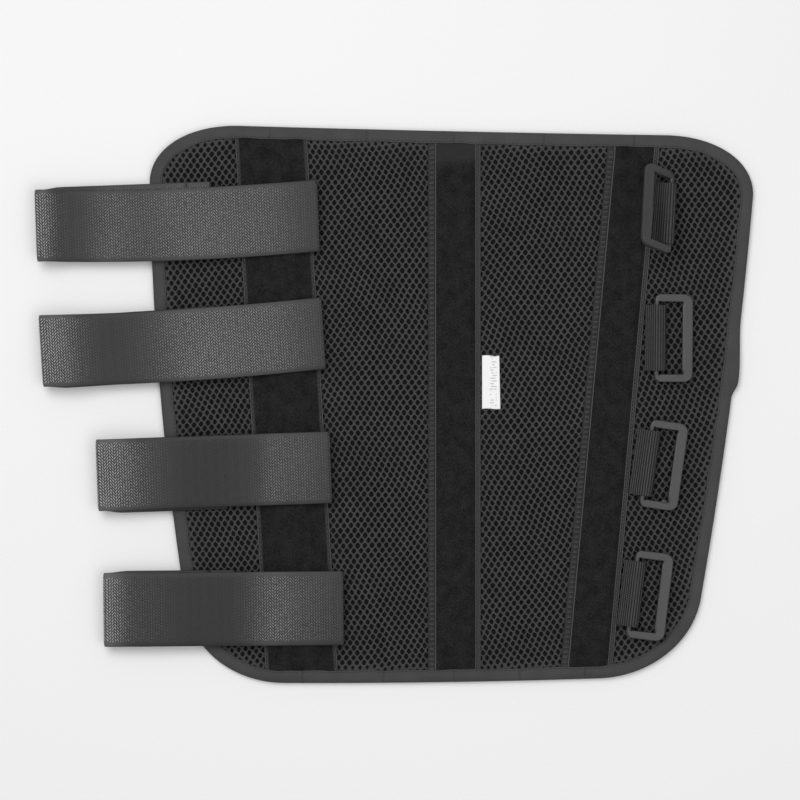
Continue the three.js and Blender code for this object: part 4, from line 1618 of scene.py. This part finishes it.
@dataclass
class HookStrap:
    """A hook strap that leaves the flap, folds back on itself and ends over the panel.

    Attributes:
        number: which strap it is, from the wide end.
        lower_shift: how far the lower run lies towards the wide end of the upper one.
        undulations: how the upper run rises and sinks.
        gleams: where painted light lightens the hooks.
        dull: how light the painted shade leaves them away from all gleams.
        sag: how far the upper run's middle bows towards the narrow end.
        width: the tape's width.
        thickness: its thickness.
        lower_z: the height of the lower run's middle.
        upper_z: the height of the upper run's middle.
        swerve: how far before the fold the lower run starts to swerve to the upper one's line.
        root_gap: how far outside the flap's bend line the root ends.
        fold_reach: how far above the fold's middle the part that turns begins; not used.
    """

    number: int
    wardrobe: Wardrobe
    lower_shift: float
    undulations: tuple[Undulation, ...]
    gleams: tuple[Gleam, ...]
    dull: float = 0.1
    sag: float = 0.0
    width: float = 50.0
    thickness: float = 2.0
    lower_z: float = 6.7
    upper_z: float = 11.2
    swerve: float = 14.0
    root_gap: float = 16.0
    fold_reach: float = 0.6

    def __post_init__(self) -> None:
        """Reads the fold's place and the strap's way from its joint, and its ends from the CAD's boxes."""
        self.fold, axis = joint_place(f"strap_{self.number}_fold")
        self.way = np.array((-axis[1], axis[0], 0.0))
        self.sideways = np.array((-self.way[1], self.way[0], 0.0))
        self.root = self.reach_of(f"strap_{self.number}_lower")
        self.tip = self.reach_of(f"strap_{self.number}_upper")

    def reach_of(self, node: str) -> float:
        """How far a CAD run reaches from the fold, from the right side of its box."""
        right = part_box(node)[1].x / MM
        return float((right - self.fold[0] - self.width / 2.0 * abs(self.way[1])) / self.way[0])

    def across_points(self) -> Array:
        """Places across the strap from its wide-end edge to its other edge, closer near both edges."""
        half = self.width / 2.0
        near = half - np.array([0.0, 0.35, 0.9])
        return np.concatenate([near, np.linspace(half - 3.0, 3.0 - half, 17), -near[::-1]])

    def skin(self, along: Array, height: Array, lower: Array) -> Shell:
        """A length of tape that follows a line.

        Args:
            along: distances from the fold along the strap's way, one for each point of the line.
            height: the line's heights.
            lower: from 0 to 1, how much each point belongs to the lower run.

        Returns:
            A closed shell with its outer face away from the fold's inside.
        """
        across = self.across_points()
        turned = np.gradient(along), np.gradient(height)
        length = np.hypot(*turned)
        out = table(-turned[1] / length, turned[0] / length)
        x = self.fold[0] + self.way[0] * along
        rise = sum(
            (u.rise * swell(x, u.x, u.reach))[:, None] * (1.0 + u.edge * across / self.width * 2.0)[None]
            for u in self.undulations
        ) * (1.0 - lower)[:, None]
        gone = np.clip(along / self.tip, 0.0, 1.0)
        bow = -4.0 * self.sag * (gone * (1.0 - gone) * (1.0 - lower))[:, None]
        shift = across[None] + self.lower_shift * lower[:, None] + bow
        middle = self.fold[:2] + self.way[:2] * along[:, None, None] + self.sideways[:2] * shift[..., None]
        middle = table(middle[..., 0], middle[..., 1], height[:, None] + rise)
        half = self.thickness / 2.0 * (1.0 - 0.72 * (np.abs(across) / self.width * 2.0) ** 24)
        normal = (self.way * out[:, :1] + np.array((0.0, 0.0, 1.0)) * out[:, 1:])[:, None]
        travelled = np.concatenate([[0.0], np.cumsum(np.hypot(np.diff(along), np.diff(height)))])
        cloth = table((travelled + along[0] + 40.0)[:, None], across[None])
        return slab(middle + normal * half[None, :, None], middle - normal * half[None, :, None], cloth)

    def shade(self, shell: Shell) -> Array:
        """The painted light and shade at each point of the strap: the dull level and a soft hump for each
        gleam.
        """
        x = shell.points[:, 0]
        return self.dull + sum(g.strength * swell(x, g.x, g.reach) for g in self.gleams)

    def build(self) -> list[Piece]:
        """Makes the root, which lies on the flap, and the rest, which turns over at the fold."""
        cut = float(bend_line("left_wrap_flap").at(self.fold[1])) - self.root_gap
        at_cut = (cut - self.fold[0]) / self.way[0]
        start = np.linspace(self.root, at_cut, 24)
        shell = self.skin(start, np.full_like(start, self.lower_z), np.ones_like(start))
        hook = self.wardrobe.take(Dress.HOOK)
        root = make_piece(f"strap_{self.number}_root", shell, hook, self.shade(shell))
        bend_across(root)
        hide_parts(f"strap_{self.number}_lower")
        radius = (self.upper_z - self.lower_z) / 2.0
        turn = np.linspace(0.0, np.pi, 15)[1:-1]
        lower = np.linspace(at_cut, 0.0, max(int(at_cut / 3.0), 4))
        upper = np.linspace(0.0, self.tip, int(self.tip / 2.0))
        along = np.concatenate([lower, -radius * np.sin(turn), upper])
        height = np.concatenate([
            np.full_like(lower, self.lower_z),
            self.fold[2] - radius * np.cos(turn),
            np.full_like(upper, self.upper_z),
        ])
        share = np.concatenate([ease(lower / self.swerve), np.zeros_like(turn), np.zeros_like(upper)])
        shell = self.skin(along, height, share)
        run = make_piece(f"strap_{self.number}_tape", shell, hook, self.shade(shell))
        bend_with(run)
        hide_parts(f"strap_{self.number}_upper")
        return [root, run]


# ---- Buckles ----


@dataclass
class RingBuckle:
    """A moulded rectangular ring on a loop of ribbed webbing.

    Attributes:
        number: which buckle it is.
        turn: how far the ring is turned over its bar, from lying to the right, in degrees.
        pip: whether the mould's gate left a small dome on the end bar.
        length: the ring's length along its bars.
        width: its width across them.
        thickness: its thickness.
        outer_bar: the width of the bar away from the tab.
        end_bar: the width of the bars at both ends.
        bar_radius: the radius of the round bar in the tab's loop.
        bar_inset: from the round bar's middle to the ring's edge.
        tab_width: the webbing's width.
        tab_thickness: its thickness.
        loop_half_width: half the loop's width round the bar.
        loop_half_height: half its height.
        loop_shift: how far beyond the bar the loop's middle lies.
        root_heights: the heights of the tab's lower and upper layer at its root.
        flex: how far before and past its sewn edge the tab bends; not used.
    """

    number: int
    wardrobe: Wardrobe
    turn: float = 0.0
    pip: bool = False
    length: float = 61.5
    width: float = 28.0
    thickness: float = 3.6
    outer_bar: float = 7.5
    end_bar: float = 5.5
    bar_radius: float = 1.9
    bar_inset: float = 2.75
    tab_width: float = 46.0
    tab_thickness: float = 1.5
    loop_half_width: float = 5.0
    loop_half_height: float = 3.1
    loop_shift: float = 0.9
    root_heights: tuple[float, float] = (6.2, 7.75)
    flex: tuple[float, float] = (1.4, 2.5)

    def __post_init__(self) -> None:
        """Reads the bar's place and way, and the tab's root, from the joints."""
        self.bar, axis = joint_place(f"ring_{self.number}_swing")
        self.along = axis * math.copysign(1.0, axis[1])
        self.across = np.cross(self.along, (0.0, 0.0, 1.0))
        self.across = self.across / np.linalg.norm(self.across)
        self.up = np.cross(self.across, self.along)
        root, _ = joint_place(f"tab_{self.number}_flex")
        self.root = float((root - self.bar) @ self.across)

    def ring_line(self) -> tuple[Array, Array, Array]:
        """The line through the ring's four bars, anticlockwise: its points, outward ways and half widths.

        A rounded rectangle with quarter circles for corners. The half width changes along the corners from
        the outer bar's to the end bars' and the round bar's.
        """
        left, right = 0.0, self.width - self.bar_inset - self.outer_bar / 2.0
        high = self.length / 2.0 - self.end_bar / 2.0
        corner, steps = 3.0, 9
        quarter = np.linspace(0.0, np.pi / 2.0, steps)
        middles = [(right - corner, high - corner), (left + corner, high - corner),
                   (left + corner, corner - high), (right - corner, corner - high)]
        halves = [self.outer_bar / 2.0, self.end_bar / 2.0, self.bar_radius, self.end_bar / 2.0]
        points, ways, widths = [], [], []
        for i, middle in enumerate(middles):
            angle = quarter + i * np.pi / 2.0
            way = table(np.cos(angle), np.sin(angle))
            arc = np.array(middle) + corner * way
            last_way = table(np.cos(angle[-1]), np.sin(angle[-1]))
            following = np.array(middles[(i + 1) % 4]) + corner * last_way
            count = 12 if i % 2 else 4
            share = np.linspace(0.0, 1.0, count + 2)[1:-1, None]
            points += [arc, arc[-1] + (following - arc[-1]) * share]
            ways += [way, np.repeat(way[-1:], count, axis=0)]
            narrowing = halves[i] + (halves[(i + 1) % 4] - halves[i]) * ease(np.linspace(0.0, 1.0, steps))
            widths += [narrowing, np.full(count, halves[(i + 1) % 4])]
        return np.concatenate(points), np.concatenate(ways), np.concatenate(widths)

    def ring_shell(self) -> Shell:
        """The ring: a superellipse carried along the line through its bars, round at the tab's bar."""
        line, out, half = self.ring_line()
        is_round = ease((self.end_bar / 2.0 - half) / (self.end_bar / 2.0 - self.bar_radius))
        turn = 2.0 * np.pi * (np.arange(24) + 0.5) / 24.0
        power = (2.0 / (7.0 - 5.0 * is_round))[:, None]
        high = (self.thickness / 2.0 + (self.bar_radius - self.thickness / 2.0) * is_round)[:, None]
        sine, cosine = np.sin(turn)[None], np.cos(turn)[None]
        aside = half[:, None] * np.sign(cosine) * np.abs(cosine) ** power
        above = high * np.sign(sine) * np.abs(sine) ** power
        flat_x = line[:, :1] + out[:, :1] * aside
        flat_y = line[:, 1:] + out[:, 1:] * aside
        rings = self.turned(flat_x, flat_y, above)[:, ::-1]
        return tube(rings, np.zeros((*rings.shape[:2], 2)), closed=True)

    def turned(self, x: Array, y: Array, z: Array) -> Array:
        """Points of the ring, from where it lies to the right, turned over its bar into place."""
        angle = math.radians(self.turn)
        over = x * math.cos(angle) - z * math.sin(angle)
        rise = x * math.sin(angle) + z * math.cos(angle)
        place = self.bar + self.across * over[..., None] + self.along * y[..., None]
        return place + self.up * rise[..., None]

    def pip_shell(self) -> Shell:
        """The gate's mark: a low dome on the narrow end's bar, as rings that close to a small cap."""
        tilt = np.linspace(0.0, 0.46 * np.pi, 6)
        turn = 2.0 * np.pi * np.arange(12) / 12.0
        ring = np.cos(tilt)[:, None]
        x = 15.5 + 2.2 * ring * np.cos(turn)[None]
        y = 3.1 - self.length / 2.0 + self.end_bar / 2.0 + 1.5 * ring * np.sin(turn)[None]
        z = self.thickness / 2.0 - 0.3 + 0.9 * np.sin(tilt)[:, None] + 0.0 * x
        rings = self.turned(x, y, z)
        return tube(rings, np.zeros((*rings.shape[:2], 2)), closed=False)

    def tab_line(self) -> tuple[Array, Array, Array]:
        """The webbing's line in the ring's own frame: across, up, and from 0 to 1 how near the root it is.

        It runs under the bar, round it on half an ellipse, and back over it to the root.
        """
        root = self.root - 1.5
        run = np.linspace(root, self.loop_shift, 12)
        turn = np.linspace(-np.pi / 2.0, np.pi / 2.0, 17)[1:-1]
        across = np.concatenate([
            run, self.loop_shift + self.loop_half_width * np.cos(turn), run[::-1]])
        up = np.concatenate([
            np.full_like(run, -self.loop_half_height),
            self.loop_half_height * np.sin(turn),
            np.full_like(run, self.loop_half_height)])
        near = 1.0 - ease((across - root) / (self.loop_shift - root))
        return across, up, near

    def tab_shell(self) -> Shell:
        """The webbing: flat on the panel at the root, it takes the bar's height and tilt at the loop."""
        across, up, near = self.tab_line()
        side = np.array([0.0, 0.3, 0.8])
        half = self.tab_width / 2.0
        inner = np.linspace(2.0 - half, half - 2.0, 15)
        place = np.concatenate([side - half, inner, half - side[::-1]])[::-1]
        base = self.bar + self.along * place[None, :, None] + self.across * across[:, None, None]
        at_root = np.where(up > 0, self.root_heights[1], self.root_heights[0])[:, None]
        upright = base[..., 2] + self.up[2] * up[:, None]
        height = upright + (at_root - upright) * near[:, None]
        middle = table(base[..., 0], base[..., 1], height)
        way = np.gradient(across), np.gradient(middle[:, len(place) // 2, 2])
        length = np.hypot(*way)
        upright = np.array((0.0, 0.0, 1.0)) * (-way[0] / length)[:, None]
        normal = self.across * (way[1] / length)[:, None] + upright
        thick = self.tab_thickness / 2.0 * (1.0 - 0.6 * (np.abs(place) / half) ** 20)
        offset = normal[:, None] * thick[None, :, None]
        travelled = np.concatenate([[0.0], np.cumsum(np.hypot(np.diff(across), np.diff(middle[:, 0, 2])))])
        cloth = table(travelled[:, None], place[None])
        return slab(middle - offset, middle + offset, cloth)

    def build(self) -> list[Piece]:
        """Makes the ring and its webbing."""
        shell = joined(self.ring_shell(), self.pip_shell()) if self.pip else self.ring_shell()
        ring = make_piece(f"buckle_{self.number}", shell, self.wardrobe.take(Dress.RING))
        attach(ring, f"ring_{self.number}")
        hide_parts(f"ring_{self.number}")
        webbing = self.wardrobe.take(Dress.WEBBING)
        tab = make_piece(f"webbing_{self.number}", self.tab_shell(), webbing)
        bend_with(tab)
        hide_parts(f"tab_{self.number}")
        return [ring, tab]


@dataclass
class CareLabel:
    """A white satin label sewn in beside the centre sleeve, free along its other edge.

    Its sewn and free edges are at x = left and right, its ends at y = low and high, its underside at z = base.
    """

    wardrobe: Wardrobe
    left: float = 19.5
    right: float = 32.3
    low: float = -3.4
    high: float = 33.8
    base: float = 5.35
    thickness: float = 0.3

    def build(self) -> list[Piece]:
        """Makes the label as a thin sheet that lifts towards its free edge and bulges in its middle."""
        u = np.linspace(0.0, 1.0, 15)[None, :]
        v = np.linspace(0.0, 1.0, 40)[:, None]
        narrow = 1.0 - 0.06 * v
        x = self.left + (self.right - self.left) * u * narrow
        y = self.low + (self.high - self.low) * v + 0.25 * np.sin(u * 6.0)
        bulge = 0.75 * np.sin(np.pi * np.clip(v * 1.05, 0, 1)) * ease(u * 1.4) + 0.12 * np.sin(v * 17.0) * u
        lower = table(x, y, self.base + bulge)
        upper = lower + (0.0, 0.0, self.thickness)
        cloth = table(x - self.left, y - self.low)
        shell = slab(upper, lower, cloth)
        label = make_piece("label_sheet", shell, self.wardrobe.take(Dress.LABEL))
        bend_with(label)
        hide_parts("label")
        return [label]


# ---- Studio ----


@dataclass
class Studio:
    """A white card under two broad soft lights, seen from straight above centre.

    The picture's width shows view_width of the card, whose half side is card_half and which lies card_drop
    under the brace. The white surroundings shine with the strength that surroundings gives.
    """

    wardrobe: Wardrobe
    centre: tuple[float, float] = (-37.8, 2.8)
    view_width: float = 560.0
    camera_height: float = 2400.0
    sensor: float = 36.0
    card_half: float = 4000.0
    card_drop: float = 0.4
    surroundings: float = 0.37

    def card(self) -> None:
        """Lays the card that the brace lies on."""
        mesh = bpy.data.meshes.new("card")
        corners = self.card_half * MM * np.array([(-1, -1, 0), (1, -1, 0), (1, 1, 0), (-1, 1, 0)])
        mesh.from_pydata(corners.tolist(), [], [(0, 1, 2, 3)])
        mesh.materials.append(self.wardrobe.take(Dress.CARD)[0])
        card = bpy.data.objects.new("card", mesh)
        card.location.z = -self.card_drop * MM
        bpy.context.scene.collection.objects.link(card)

    def light(self, name: str, place: tuple[float, float, float], size: float, power: float) -> None:
        """Hangs a square soft light that shines at the brace.

        Args:
            name: the light's name.
            place: where it hangs, in metres.
            size: its side, in metres.
            power: its power in watts.
        """
        data = bpy.data.lights.new(name, "AREA")
        data.shape = "SQUARE"
        data.size = size
        data.energy = power
        lamp = bpy.data.objects.new(name, data)
        lamp.location = place
        away = np.array(place)
        tilt = math.acos(away[2] / np.linalg.norm(away))
        lamp.rotation_euler = (tilt, 0.0, math.atan2(away[0], -away[1]))
        bpy.context.scene.collection.objects.link(lamp)

    def build(self) -> None:
        """Sets up the card, the lights, the surroundings' light and the camera."""
        self.card()
        self.light("key", (-0.55, 0.65, 1.75), 1.2, 20.0)
        self.light("fill", (0.7, -0.5, 1.9), 1.4, 11.5)
        world = bpy.data.worlds.new("surroundings")
        world.use_nodes = True
        background = world.node_tree.nodes["Background"]
        background.inputs[0].default_value = (1.0, 1.0, 1.0, 1.0)
        background.inputs[1].default_value = self.surroundings
        bpy.context.scene.world = world
        data = bpy.data.cameras.new("camera")
        data.sensor_width = self.sensor
        data.lens = self.sensor * self.camera_height / self.view_width
        data.clip_end = 20.0
        camera = bpy.data.objects.new("camera", data)
        camera.location = (self.centre[0] * MM, self.centre[1] * MM, self.camera_height * MM)
        bpy.context.scene.collection.objects.link(camera)
        bpy.context.scene.camera = camera
        bpy.context.scene.view_settings.view_transform = "Standard"


# ---- The whole brace ----


def straps(wardrobe: Wardrobe) -> list[HookStrap]:
    """The four straps, from the wide end, each with how its upper run lies and where painted light lightens
    its hooks.
    """
    return [
        HookStrap(
            1, wardrobe, 1.6,
            (Undulation(-284.0, 9.0, 3.4), Undulation(-261.0, 12.0, -0.5),
             Undulation(-150.0, 45.0, 1.6, 0.3)),
            (Gleam(-293.0, 12.0, 1.7), Gleam(-240.0, 15.0, 0.4), Gleam(-180.0, 50.0, 0.7),
             Gleam(-130.0, 25.0, 0.3)),
            sag=2.8),
        HookStrap(
            2, wardrobe, -1.6,
            (Undulation(-272.0, 16.0, 4.4), Undulation(-224.0, 18.0, -0.5),
             Undulation(-160.0, 40.0, 1.8, -0.2)),
            (Gleam(-287.0, 22.0, 1.6), Gleam(-180.0, 30.0, 0.75), Gleam(-132.0, 32.0, 0.65)),
            sag=2.2),
        HookStrap(
            3, wardrobe, -1.8,
            (Undulation(-232.0, 18.0, 4.0, 0.5), Undulation(-190.0, 14.0, -0.45),
             Undulation(-98.0, 30.0, 2.6)),
            (Gleam(-252.0, 32.0, 1.7), Gleam(-127.0, 8.0, 0.2), Gleam(-112.0, 26.0, 0.45)),
            dull=0.04),
        HookStrap(
            4, wardrobe, 1.2,
            (Undulation(-160.0, 150.0, 1.2, 0.9), Undulation(-215.0, 22.0, 0.8),
             Undulation(-110.0, 24.0, 0.7)),
            (Gleam(-246.0, 14.0, 1.8), Gleam(-215.0, 18.0, 0.15), Gleam(-126.0, 16.0, 0.65),
             Gleam(-100.0, 20.0, 0.3)),
            dull=0.08, width=51.5),
    ]


def buckles(wardrobe: Wardrobe) -> list[RingBuckle]:
    """The four buckles, from the wide end: the first is tipped back and the third has the gate's mark."""
    return [
        RingBuckle(1, wardrobe, turn=142.0, loop_half_width=2.9, loop_shift=0.0),
        RingBuckle(2, wardrobe),
        RingBuckle(3, wardrobe, pip=True),
        RingBuckle(4, wardrobe),
    ]


def report(pieces: list[Piece]) -> None:
    """Logs each piece with its number of faces."""
    for piece in pieces:
        LOG.info("%s: %d faces", piece.name, len(piece.data.polygons))


def main() -> None:
    """Builds the studio and then the brace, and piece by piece."""
    logging.basicConfig(level=logging.INFO, format="%(name)s %(message)s")
    wardrobe = Wardrobe()
    Studio(wardrobe).build()
    layout = Layout()
    report(Padding(layout, wardrobe).build())
    report(MeshCover(layout, wardrobe).build())
    report(EdgeBinding(layout, wardrobe).build())
    for shape in SLEEVES:
        report(Sleeve(shape, layout, wardrobe).build())
    for strap in straps(wardrobe):
        report(strap.build())
    for buckle in buckles(wardrobe):
        report(buckle.build())
    report(CareLabel(wardrobe).build())


if __name__ == "__main__":
    main()
